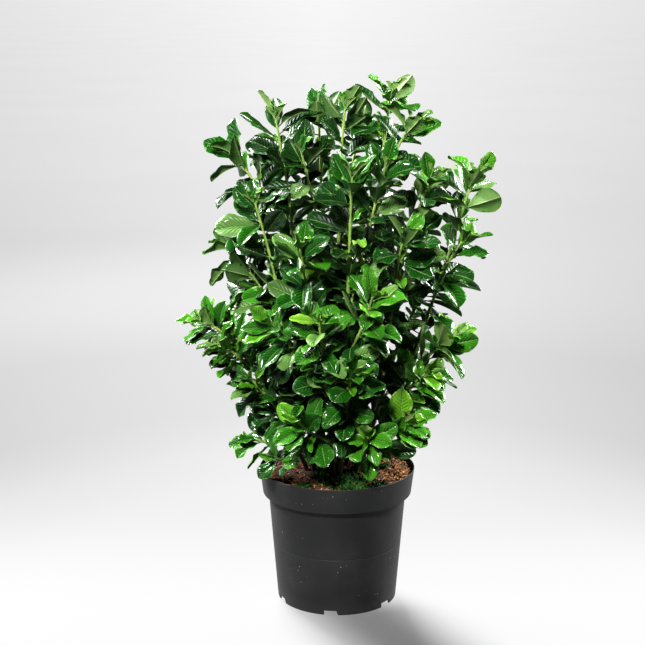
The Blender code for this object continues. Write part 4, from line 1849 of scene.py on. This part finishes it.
def splayed(direction: Vector, turn: float, pitch: float) -> tuple[Vector, Vector]:
    """How a young leaf leans out from its stem.

    Args:
        direction: The stem's direction.
        turn: Where round the stem it stands.
        pitch: How far it leans out.

    Returns:
        Its heading and its top side.
    """
    first = direction.orthogonal().normalized()
    second = direction.cross(first)
    radial = first * math.cos(turn) + second * math.sin(turn)
    heading = direction * math.cos(pitch) + radial * math.sin(pitch)
    return heading, direction * math.sin(pitch) - radial * math.cos(pitch)


def outline(share: float) -> float:
    """Half width of the blade, as a share of its greatest, at a share of its length."""
    return math.sin(math.pi * share**OUTLINE_LEAN) ** OUTLINE_FULLNESS


def leaf_section(leaf: Leaf, share: float) -> tuple[Vector, Vector, Vector]:
    """A section across a leaf.

    Args:
        leaf: The leaf.
        share: Where it is cut, as a share of its length.

    Returns:
        The section's centre, its side direction and its top direction.
    """
    side = leaf.heading.cross(leaf.top).normalized()
    top = side.cross(leaf.heading)
    bend = leaf.droop * share
    ahead = math.sin(bend) / leaf.droop
    down = (1.0 - math.cos(bend)) / leaf.droop
    centre = leaf.root + (leaf.heading * ahead - top * down) * leaf.length
    return centre, side, top * math.cos(bend) + leaf.heading * math.sin(bend)


class Space:
    """What is already taken: the stems' tubes and the leaves placed so far."""

    def __init__(self) -> None:
        """Starts with nothing taken."""
        self.taken: list[tuple[Vector, float, BVHTree]] = []

    def ball(self, shape: Form) -> tuple[Vector, float, BVHTree]:
        """Measures a closed shape.

        Args:
            shape: Its points and faces.

        Returns:
            The middle and radius of a ball that holds it, and its tree of faces.
        """
        points, faces = shape
        centre = sum(points, Vector()) / len(points)
        reach = max((point - centre).length for point in points)
        return centre, reach, BVHTree.FromPolygons(points, faces)

    def add(self, shape: Form) -> None:
        """Takes the room of a closed shape."""
        self.taken.append(self.ball(shape))

    def free(self, shape: Form, own: int, blade: Form) -> bool:
        """Whether a leaf meets nothing, where its stalk may meet its own stem.

        Args:
            shape: The leaf with its stalk.
            own: The number of its own stem's tube.
            blade: The leaf without its stalk.

        Returns:
            True where the leaf fits.
        """
        centre, reach, tree = self.ball(shape)
        for number, (middle, span, other) in enumerate(self.taken):
            if (middle - centre).length > reach + span:
                continue
            if number == own:
                if BVHTree.FromPolygons(*blade).overlap(other):
                    return False
            elif tree.overlap(other):
                return False
        return True


@dataclass
class FineLeaf:
    """The fine form of a leaf: a round stalk that opens into a folded, arched and rippled blade."""

    rule: GrowthRule
    stalk_rows: tuple[float, ...] = (0.0, 0.04, 0.08, 0.12)
    blade_rows: tuple[float, ...] = (
        *(0.03, 0.09, 0.18, 0.28, 0.39, 0.51, 0.63),
        *(0.74, 0.83, 0.90, 0.948, 0.979, 0.995),
    )
    columns: tuple[float, ...] = (-1.0, -0.74, -0.44, -0.12, 0.0, 0.12, 0.44, 0.74, 1.0)
    opening: float = 0.12
    arch: float = 0.17
    twist: float = 2.4
    ripple: float = 0.0027
    ripple_range: Span = (0.5, 1.5)
    ripple_turns: Span = (1.6, 3.0)
    ripple_slant: float = 1.3
    skin_thickness: float = 0.00045
    skin_lift: float = 0.0003
    rib_depth: float = 0.0008
    rib_width: float = 0.08
    stalk_radius: float = 0.0011
    tip_lift: float = 0.02

    def build(self, leaf: Leaf, rng: random.Random) -> tuple[Array, Array]:
        """Points of the fine leaf, row by row: nine over the top, then seven back under it.

        Args:
            leaf: The leaf.
            rng: The leaf's own source of chance.

        Returns:
            Points, with the tip last, and each point's share along and across the blade.
        """
        start = self.rule.petiole_end
        blade = np.array(self.blade_rows)
        shares = np.concatenate([self.stalk_rows, start + blade * (1.0 - start)])
        inside = np.concatenate([np.zeros(len(self.stalk_rows)), blade])
        side = np.array(leaf.heading.cross(leaf.top).normalized())
        heading = np.array(leaf.heading)
        top = np.cross(side, heading)
        bend = leaf.droop * shares
        root = np.array(leaf.root)
        centres = root + leaf.length / leaf.droop * (
            np.outer(np.sin(bend), heading) - np.outer(1.0 - np.cos(bend), top)
        )
        tops = np.outer(np.cos(bend), top) + np.outer(np.sin(bend), heading)
        full = np.sin(np.pi * inside**OUTLINE_LEAN) ** OUTLINE_FULLNESS
        half = leaf.width / 2 * full
        opening = np.clip(inside / self.opening, 0.0, 1.0)[:, None]
        across = np.array([*self.columns, *self.columns[-2:0:-1]])
        under = np.array([0.0] * len(self.columns) + [1.0] * (len(self.columns) - 2))
        spread = np.abs(across)
        angle = across * np.pi / 2
        round_across = self.stalk_radius * np.sin(angle)
        round_up = self.stalk_radius * np.cos(angle) * (1.0 - 2.0 * under)
        wide = half[:, None]
        blade_across = wide * across * math.cos(leaf.fold)
        lift = wide * (spread * math.sin(leaf.fold) + self.arch * 4.0 * spread * (1.0 - spread))
        near, far = [(share - start) / (1.0 - start) for share in self.rule.blade_stations]
        twist_rise = np.clip((inside - near) / (far - near), 0.0, 1.0) * full
        twist = -across * leaf.wave * self.twist * twist_rise[:, None]
        phase = rng.uniform(0.0, FULL_TURN)
        turns = rng.uniform(*self.ripple_turns)
        waves = np.sin(FULL_TURN * turns * inside[:, None] + phase + across * self.ripple_slant)
        ripple = self.ripple * rng.uniform(*self.ripple_range) * spread**2 * waves * full[:, None]
        rib = self.rib_depth * np.exp(-((across / self.rib_width) ** 2))
        depth = self.skin_thickness * (1.0 - spread**4) + rib
        blade_up = lift + twist + ripple + self.skin_lift - under * depth
        sideways = round_across * (1.0 - opening) + blade_across * opening
        upward = round_up * (1.0 - opening) + blade_up * opening
        points = centres[:, None, :] + sideways[:, :, None] * side + upward[:, :, None] * tops[:, None, :]
        tip, _, tip_top = leaf_section(leaf, 1.0)
        end = np.array(tip + tip_top * leaf.width * self.tip_lift)
        places = np.stack(np.broadcast_arrays(inside[:, None], across[None, :]), axis=-1)
        return (
            np.concatenate([points.reshape(-1, 3), end[None, :]]),
            np.concatenate([places.reshape(-1, 2), [[1.0, 0.0]]]),
        )

    def faces(self) -> list[Skinned]:
        """Faces that every fine leaf shares.

        Returns:
            The quads with their skins, then the triangles at the tip and root with theirs.
        """
        over, under = Skin.LEAF_TOP.value, Skin.LEAF_UNDERSIDE.value
        ring = 2 * len(self.columns) - 2
        rows = len(self.stalk_rows) + len(self.blade_rows)
        around = [over] * (len(self.columns) - 1) + [under] * (len(self.columns) - 1)
        quads = []
        quad_skins = []
        for row in range(rows - 1):
            for k in range(ring):
                a, b = row * ring + k, row * ring + (k + 1) % ring
                quads.append((a, a + ring, b + ring, b))
            quad_skins += around if row >= len(self.stalk_rows) - 1 else [under] * ring
        last = (rows - 1) * ring
        end = rows * ring
        triangles = [(last + k, end, last + (k + 1) % ring) for k in range(ring)]
        triangles += [(0, k, k + 1) for k in range(1, ring - 1)]
        skins = around + [under] * (ring - 2)
        return [(np.array(quads), np.array(quad_skins)), (np.array(triangles), np.array(skins))]


class Foliage:
    """The growing mesh of one leafy stem."""

    SHARP_ANGLE = 70.0

    def __init__(self) -> None:
        """Starts with no points."""
        self.points: list[Array] = []
        self.places: list[Array] = []
        self.tones: list[Array] = []
        self.faces: list[list[int]] = []
        self.skins: list[int] = []
        self.count = 0

    def add(self, points: Array, places: Array, tones: Array, groups: Sequence[Skinned]) -> None:
        """Adds a form.

        Args:
            points: Its points.
            places: Each point's leaf_place.
            tones: Each point's leaf_tone.
            groups: Faces of one size each, with their skins.
        """
        for faces, skins in groups:
            self.faces += (faces + self.count).tolist()
            self.skins += skins.tolist()
        self.points.append(points)
        self.places.append(places)
        self.tones.append(tones)
        self.count += len(points)

    def mesh(self, name: str) -> Mesh:
        """The foliage as one smooth mesh.

        Args:
            name: The mesh's name.

        Returns:
            The mesh, which carries leaf_place and leaf_tone.
        """
        mesh = bpy.data.meshes.new(name)
        mesh.from_pydata(np.concatenate(self.points).tolist(), [], self.faces)
        mesh.polygons.foreach_set("material_index", self.skins)
        for key, rows in (("leaf_place", self.places), ("leaf_tone", self.tones)):
            layer = mesh.attributes.new(key, "FLOAT_VECTOR", "POINT")
            layer.data.foreach_set("vector", np.concatenate(rows).astype(np.float32).ravel())
        mesh.shade_smooth()
        mesh.set_sharp_from_angle(angle=math.radians(self.SHARP_ANGLE))
        return mesh


@dataclass
class Shrub:
    """All the leafy stems: each stands for one packed stem and keeps its leaves and its route."""

    rule: GrowthRule
    fill_first: float = 1.45
    fill_step: float = 0.55
    fill_end: float = 0.02
    fill_lowest: float = 0.31
    airy_above: float = 0.60
    airy_share: float = 0.60
    sprig_first: float = 0.040
    sprig_spacing: Span = (0.022, 0.050)
    sprig_lowest: float = 0.33
    sprig_leaves: int = 4
    sprig_size: Span = (0.018, 0.055)
    sprig_ratio: float = 0.44
    sprig_youth: Span = (0.30, 0.85)
    sprig_turn: Span = (0.6, 1.6)
    sprig_pitch: Span = (20, 65)
    sprig_fold: Span = (15, 40)
    sprig_droop: Span = (0.3, 1.0)
    sprig_wave: float = 0.0004
    tip_order: float = 7.0
    tone_kept: float = 0.35
    tip_youth: float = 0.18
    youth_chance: float = 0.07
    painted_low_light: float = 0.08
    painted_top_shade: float = 0.14
    painted_shade_heights: Span = (0.45, 0.75)
    odd_share: float = 0.14
    odd_youth: Span = (0.12, 0.34)
    bud_count: int = 3
    bud_first: float = 0.001
    bud_spacing: float = 0.002
    bud_turn: float = 40
    bud_pitch: float = 8
    bud_opening: float = 9
    bud_pitch_chance: float = 4
    bud_size: float = 0.018
    bud_growth: float = 0.010
    bud_size_range: Span = (0.85, 1.2)
    bud_ratio: float = 0.42
    bud_youth: float = 0.45
    bud_tone: float = 0.6
    bud_youth_range: Span = (-0.08, 0.12)
    bud_droop: float = 0.5
    bud_wave: float = 0.0003
    bud_fold: float = 38.0
    stem_sides: int = 8
    stem_spacing: float = 0.008
    fewest_steps: int = 8
    node_swelling: float = 0.50
    node_reach: float = 0.0030
    pale_knots: float = 0.35
    green_reach: Span = (0.34, 0.03)
    green_share: float = 0.9
    green_tone: Span = (0.75, 0.5)
    ripe_heights: Span = (0.26, 0.42)
    ripe_shade: float = 0.25
    twigs: list[Twig] = field(default_factory=list)
    space: Space = field(default_factory=Space)

    def lay_routes(self) -> None:
        """Works out every stem and twig, and takes their room."""
        for name, shoots in STEMS.items():
            leader = self.rule.leader_route(shoots[0])
            for number, shoot in enumerate(shoots):
                route = self.rule.twig_route(shoot, leader) if number else leader
                thick = self.rule.twig_radius if number else self.rule.stem_radius
                self.twigs.append(Twig(name, number, shoot, route, thick, len(self.space.taken)))
                self.space.add(self.rule.tube_room(route, thick))

    def takes_room(self, twig: Twig, leaf: Leaf, shape: Form) -> bool:
        """Takes the room of a leaf where it meets nothing.

        Args:
            twig: What it grows on.
            leaf: The leaf.
            shape: Its points and triangles.

        Returns:
            Whether there was room.
        """
        has_room = self.space.free(shape, twig.tube, self.rule.leaf_shape(leaf, petiole=False))
        if has_room:
            self.space.add(shape)
        return has_room

    def grow_leaf(self, twig: Twig, order: float, start_angle: float, rng: random.Random) -> None:
        """Grows a leaf where it meets nothing, or none where it fits nowhere.

        Args:
            twig: What it grows on.
            order: Its place in the twig's order.
            start_angle: Where round the twig the first leaf stands.
            rng: The leaf's own source of chance.
        """
        for attempt in range(self.rule.tries):
            leaf = self.rule.leaf_try(twig, order, start_angle, rng, attempt)
            shape = self.rule.leaf_shape(leaf)
            if self.rule.clear_of_pot(shape[0]) and self.takes_room(twig, leaf, shape):
                twig.leaves.append(self.aged(leaf, twig, order))
                return

    def grow(self) -> None:
        """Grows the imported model's leaves."""
        for twig in self.twigs:
            start_angle = chance_of(*twig.words).uniform(0, 360)
            for order in range(twig.shoot.leaves):
                self.grow_leaf(twig, order, start_angle, chance_of(*twig.words, order))

    def fill(self) -> None:
        """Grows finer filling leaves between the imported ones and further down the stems."""
        rule = self.rule
        for twig in self.twigs:
            start_angle = chance_of("fill", *twig.words).uniform(0, 360)
            order = self.fill_first
            while True:
                distance = rule.first_leaf + rule.tip_leaves * rule.tip_internode
                left = twig.length - (distance + rule.internode * (order - rule.tip_leaves))
                height = along(twig.route, left)[0].z if left > self.fill_end else 0.0
                if height < self.fill_lowest:
                    break
                chance = chance_of("airy", *twig.words, order).random()
                if height <= self.airy_above or chance >= self.airy_share:
                    self.grow_leaf(twig, order, start_angle, chance_of("fill", *twig.words, order))
                order += self.fill_step

    def aged(self, leaf: Leaf, twig: Twig, order: float) -> Leaf:
        """The leaf with its youth: freshest at the tip of a bright stem, oldest low inside, with painted
        light on the low leaves and painted shade on the high ones.

        Args:
            leaf: The leaf.
            twig: What it grows on.
            order: Its place in the twig's order.

        Returns:
            The leaf with its youth set.
        """
        rng = chance_of("age", twig.name, order, f"{leaf.length:.5f}")
        tipward = max(0.0, 1.0 - order / self.tip_order)
        youth = twig.tone * (self.tone_kept + (1.0 - self.tone_kept) * tipward)
        youth += self.tip_youth * tipward**3 + rng.gauss(0.0, self.youth_chance)
        # Painted light and shade: every leaf is made lighter, and those high up darker again.
        youth += self.painted_low_light - self.painted_top_shade * smooth_step(*self.painted_shade_heights, leaf.root.z)
        if rng.random() < self.odd_share:
            youth += rng.uniform(*self.odd_youth)
        return replace(leaf, youth=min(1.0, max(0.0, youth)))

    def tip_growth(self, twig: Twig) -> Iterator[Leaf]:
        """The small half-open leaves at a twig's tip.

        Args:
            twig: The twig.

        Yields:
            Each young leaf.
        """
        rng = chance_of("tip", *twig.words)
        fold = math.radians(self.bud_fold)
        for i in range(self.bud_count):
            root, direction = along(twig.route, twig.length - self.bud_first - self.bud_spacing * i)
            turn = math.radians(i * self.rule.golden_angle + rng.uniform(0, self.bud_turn))
            pitch = self.bud_pitch + self.bud_opening * i
            pitch += rng.uniform(-self.bud_pitch_chance, self.bud_pitch_chance)
            heading, top = splayed(direction, turn, math.radians(pitch))
            size = (self.bud_size + self.bud_growth * i) * rng.uniform(*self.bud_size_range)
            youth = min(1.0, self.bud_youth + self.bud_tone * twig.tone + rng.uniform(*self.bud_youth_range))
            sizes = (size, size * self.bud_ratio, self.bud_droop, self.bud_wave, fold, youth)
            yield Leaf(root, heading.normalized(), top, *sizes)

    def sprout(self) -> None:
        """Grows the little bunches of young leaves along every stem."""
        for twig in self.twigs:
            twig.leaves += self.side_sprigs(twig)

    def side_sprigs(self, twig: Twig) -> Iterator[Leaf]:
        """The little bunches of young leaves where a twig has started to branch.

        Args:
            twig: The twig.

        Yields:
            Each young leaf that has room.
        """
        rng = chance_of("sprigs", *twig.words)
        from_tip = self.sprig_first
        while from_tip < twig.length:
            root, direction = along(twig.route, twig.length - from_tip)
            from_tip += rng.uniform(*self.sprig_spacing)
            if root.z < self.sprig_lowest:
                break
            turn = rng.uniform(0, FULL_TURN)
            youth = rng.uniform(*self.sprig_youth)
            for _ in range(self.sprig_leaves):
                turn += rng.uniform(*self.sprig_turn)
                heading, top = splayed(direction, turn, math.radians(rng.uniform(*self.sprig_pitch)))
                size = rng.uniform(*self.sprig_size)
                fold = math.radians(rng.uniform(*self.sprig_fold))
                droop = rng.uniform(*self.sprig_droop)
                sizes = (size, size * self.sprig_ratio, droop, self.sprig_wave, fold, youth)
                leaf = Leaf(root, heading, top, *sizes)
                if self.takes_room(twig, leaf, self.rule.leaf_shape(leaf)):
                    yield leaf

    def add_stem(self, foliage: Foliage, twig: Twig) -> None:
        """Adds a leader or side twig with its swollen nodes.

        Args:
            foliage: The mesh that it joins.
            twig: The twig.
        """
        route, length = twig.route, twig.length
        marks = [twig.distance_of(leaf.root) for leaf in twig.leaves]
        steps = max(self.fewest_steps, round(length / self.stem_spacing))
        distances = sorted({*[length * i / steps for i in range(steps + 1)], *marks})
        centres = [twig.smooth_point(distance) for distance in distances]
        knots = [
            max((math.exp(-(((distance - mark) / self.node_reach) ** 2)) for mark in marks), default=0.0)
            for distance in distances
        ]
        radii = [
            self.rule.radius_at(route, distance, twig.thick) * (1.0 + self.node_swelling * knot)
            for distance, knot in zip(distances, knots)
        ]
        points, faces = tube(centres, radii, self.stem_sides)
        green, brighter = self.green_tone
        tone = green + brighter * twig.tone
        tones = []
        for distance, centre, knot in zip(distances, centres, knots):
            youth = smooth_step(*self.green_reach, length - distance) * tone
            ripe = smooth_step(*self.ripe_heights, centre.z)
            shade = youth * self.green_share + (self.ripe_shade + self.pale_knots * knot) * ripe
            tones += [(min(1.0, shade), 0.0, 0.0)] * self.stem_sides
        quads = np.array([face for face in faces if len(face) == 4])
        caps = np.array([face for face in faces if len(face) == self.stem_sides])
        bark = Skin.BARK.value
        foliage.add(
            np.array(points),
            np.zeros((len(points), 3)),
            np.array(tones),
            [(quads, np.full(len(quads), bark)), (caps, np.full(len(caps), bark))],
        )

    def build(self) -> None:
        """Builds and dresses every leafy stem."""
        self.lay_routes()
        self.grow()
        self.sprout()
        self.fill()
        log.info("leafy stems: %d leaves", sum(len(twig.leaves) for twig in self.twigs))
        materials = [LeafTopFinish().material(), LeafUndersideFinish().material(), BarkFinish().material()]
        fine = FineLeaf(self.rule)
        groups = fine.faces()
        for name in STEMS:
            foliage = Foliage()
            for twig in [twig for twig in self.twigs if twig.name == name]:
                self.add_stem(foliage, twig)
                for count, leaf in enumerate([*twig.leaves, *self.tip_growth(twig)]):
                    rng = chance_of("fine", *twig.words, count)
                    points, places = fine.build(leaf, rng)
                    shift = twig.smooth_point(twig.distance_of(leaf.root)) - leaf.root
                    chance = np.full((len(points), 1), rng.random())
                    tones = np.tile([leaf.youth, rng.random(), 0.0], (len(points), 1))
                    foliage.add(points + np.array(shift), np.hstack([places, chance]), tones, groups)
            piece = name.replace("stem_", "leafy_")
            finished_piece(piece, foliage.mesh(piece), materials, name)


@dataclass(frozen=True)
class Lamp:
    """A square soft light: its place, the height on the pot's axis that it points at, and its power."""

    name: str
    place: tuple[float, float, float]
    target_height: float
    size: float
    watts: float
    lit: Lit

    def hang(self, receivers: Collection) -> None:
        """Hangs the light.

        Args:
            receivers: What it lights, or is kept off.
        """
        light = bpy.data.lights.new(self.name, "AREA")
        light.shape = "SQUARE"
        light.size = self.size
        light.energy = self.watts
        lamp = bpy.data.objects.new(self.name, light)
        lamp.location = self.place
        view = UP * self.target_height - Vector(self.place)
        lamp.rotation_euler = view.to_track_quat("-Z", "Y").to_euler()
        lamp.light_linking.receiver_collection = receivers
        bpy.context.scene.collection.objects.link(lamp)


@dataclass
class Studio:
    """A plain pale floor, soft lights and the camera."""

    floor_reach: float = 150.0
    floor_sides: int = 96
    lamps: tuple[Lamp, ...] = (
        Lamp("key_light", (-1.85, 0.8, 2.2), 0.55, 0.8, 230.0, Lit.PLANT),
        Lamp("side_light", (1.9, 0.9, 1.6), 0.55, 0.7, 155.0, Lit.PLANT),
        Lamp("front_light", (-0.7, -2.4, 2.5), 0.55, 0.5, 150.0, Lit.PLANT),
        Lamp("pot_light", (-0.3, -2.6, 0.3), 0.0, 1.0, 17.0, Lit.POT),
        Lamp("floor_light", (-0.95, 2.6, 1.9), 0.0, 1.8, 345.0, Lit.FLOOR),
    )
    room_light: float = 0.01
    camera_place: tuple[float, float, float] = (-0.0265, -2.63, 1.11)
    camera_dip: float = 12.84
    focal_pixels: float = 1519.0
    frame_pixels: float = 645.0
    sensor: float = 36.0

    def floor(self) -> Object:
        """Lays the floor.

        Returns:
            The floor.
        """
        tool = bmesh.new()
        bmesh.ops.create_circle(tool, cap_ends=True, segments=self.floor_sides, radius=self.floor_reach)
        mesh = bpy.data.meshes.new("studio_floor")
        tool.to_mesh(mesh)
        tool.free()
        floor = bpy.data.objects.new("studio_floor", mesh)
        bpy.context.scene.collection.objects.link(floor)
        mesh.materials.append(FloorFinish().material())
        floor.visible_diffuse = False
        return floor

    def lights(self, floor: Object, pot: Object) -> None:
        """Hangs the lights and sets the even light of the room.

        Args:
            floor: The floor, which has a light of its own.
            pot: The pot, which a low light brightens.
        """
        receivers = {lit: bpy.data.collections.new(lit.value) for lit in Lit}
        for lit, piece in ((Lit.PLANT, floor), (Lit.FLOOR, floor), (Lit.POT, pot)):
            receivers[lit].objects.link(piece)
        receivers[Lit.PLANT].collection_objects[0].light_linking.link_state = "EXCLUDE"
        for lamp in self.lamps:
            lamp.hang(receivers[lamp.lit])
        world = bpy.data.worlds.new("studio_room")
        world.use_nodes = True
        background = world.node_tree.nodes["Background"]
        background.inputs["Color"].default_value = WHITE
        background.inputs["Strength"].default_value = self.room_light
        bpy.context.scene.world = world

    def camera(self) -> None:
        """Sets the camera at the photograph's angle."""
        view = bpy.data.cameras.new("photo_camera")
        view.sensor_fit = "HORIZONTAL"
        view.sensor_width = self.sensor
        view.lens = self.focal_pixels / self.frame_pixels * self.sensor
        view.clip_end = 4 * self.floor_reach
        camera = bpy.data.objects.new("photo_camera", view)
        camera.location = self.camera_place
        camera.rotation_euler = (math.radians(90.0 - self.camera_dip), 0.0, 0.0)
        bpy.context.scene.collection.objects.link(camera)
        bpy.context.scene.camera = camera

    def build(self, pot: Object) -> None:
        """Sets the whole studio up.

        Args:
            pot: The pot.
        """
        self.lights(self.floor(), pot)
        self.camera()
        settings = bpy.context.scene.view_settings
        settings.view_transform = "Standard"
        settings.look = "Medium High Contrast"


def main() -> None:
    """Builds the studio and the potted plant, piece by piece."""
    logging.basicConfig(level=logging.INFO, format="%(message)s")
    pot = NurseryPot()
    Studio().build(pot.build())
    soil = PottingSoil(pot)
    soil.build()
    SoilDressing(soil).build()
    Shrub(GrowthRule(soil)).build()


if __name__ == "__main__":
    main()
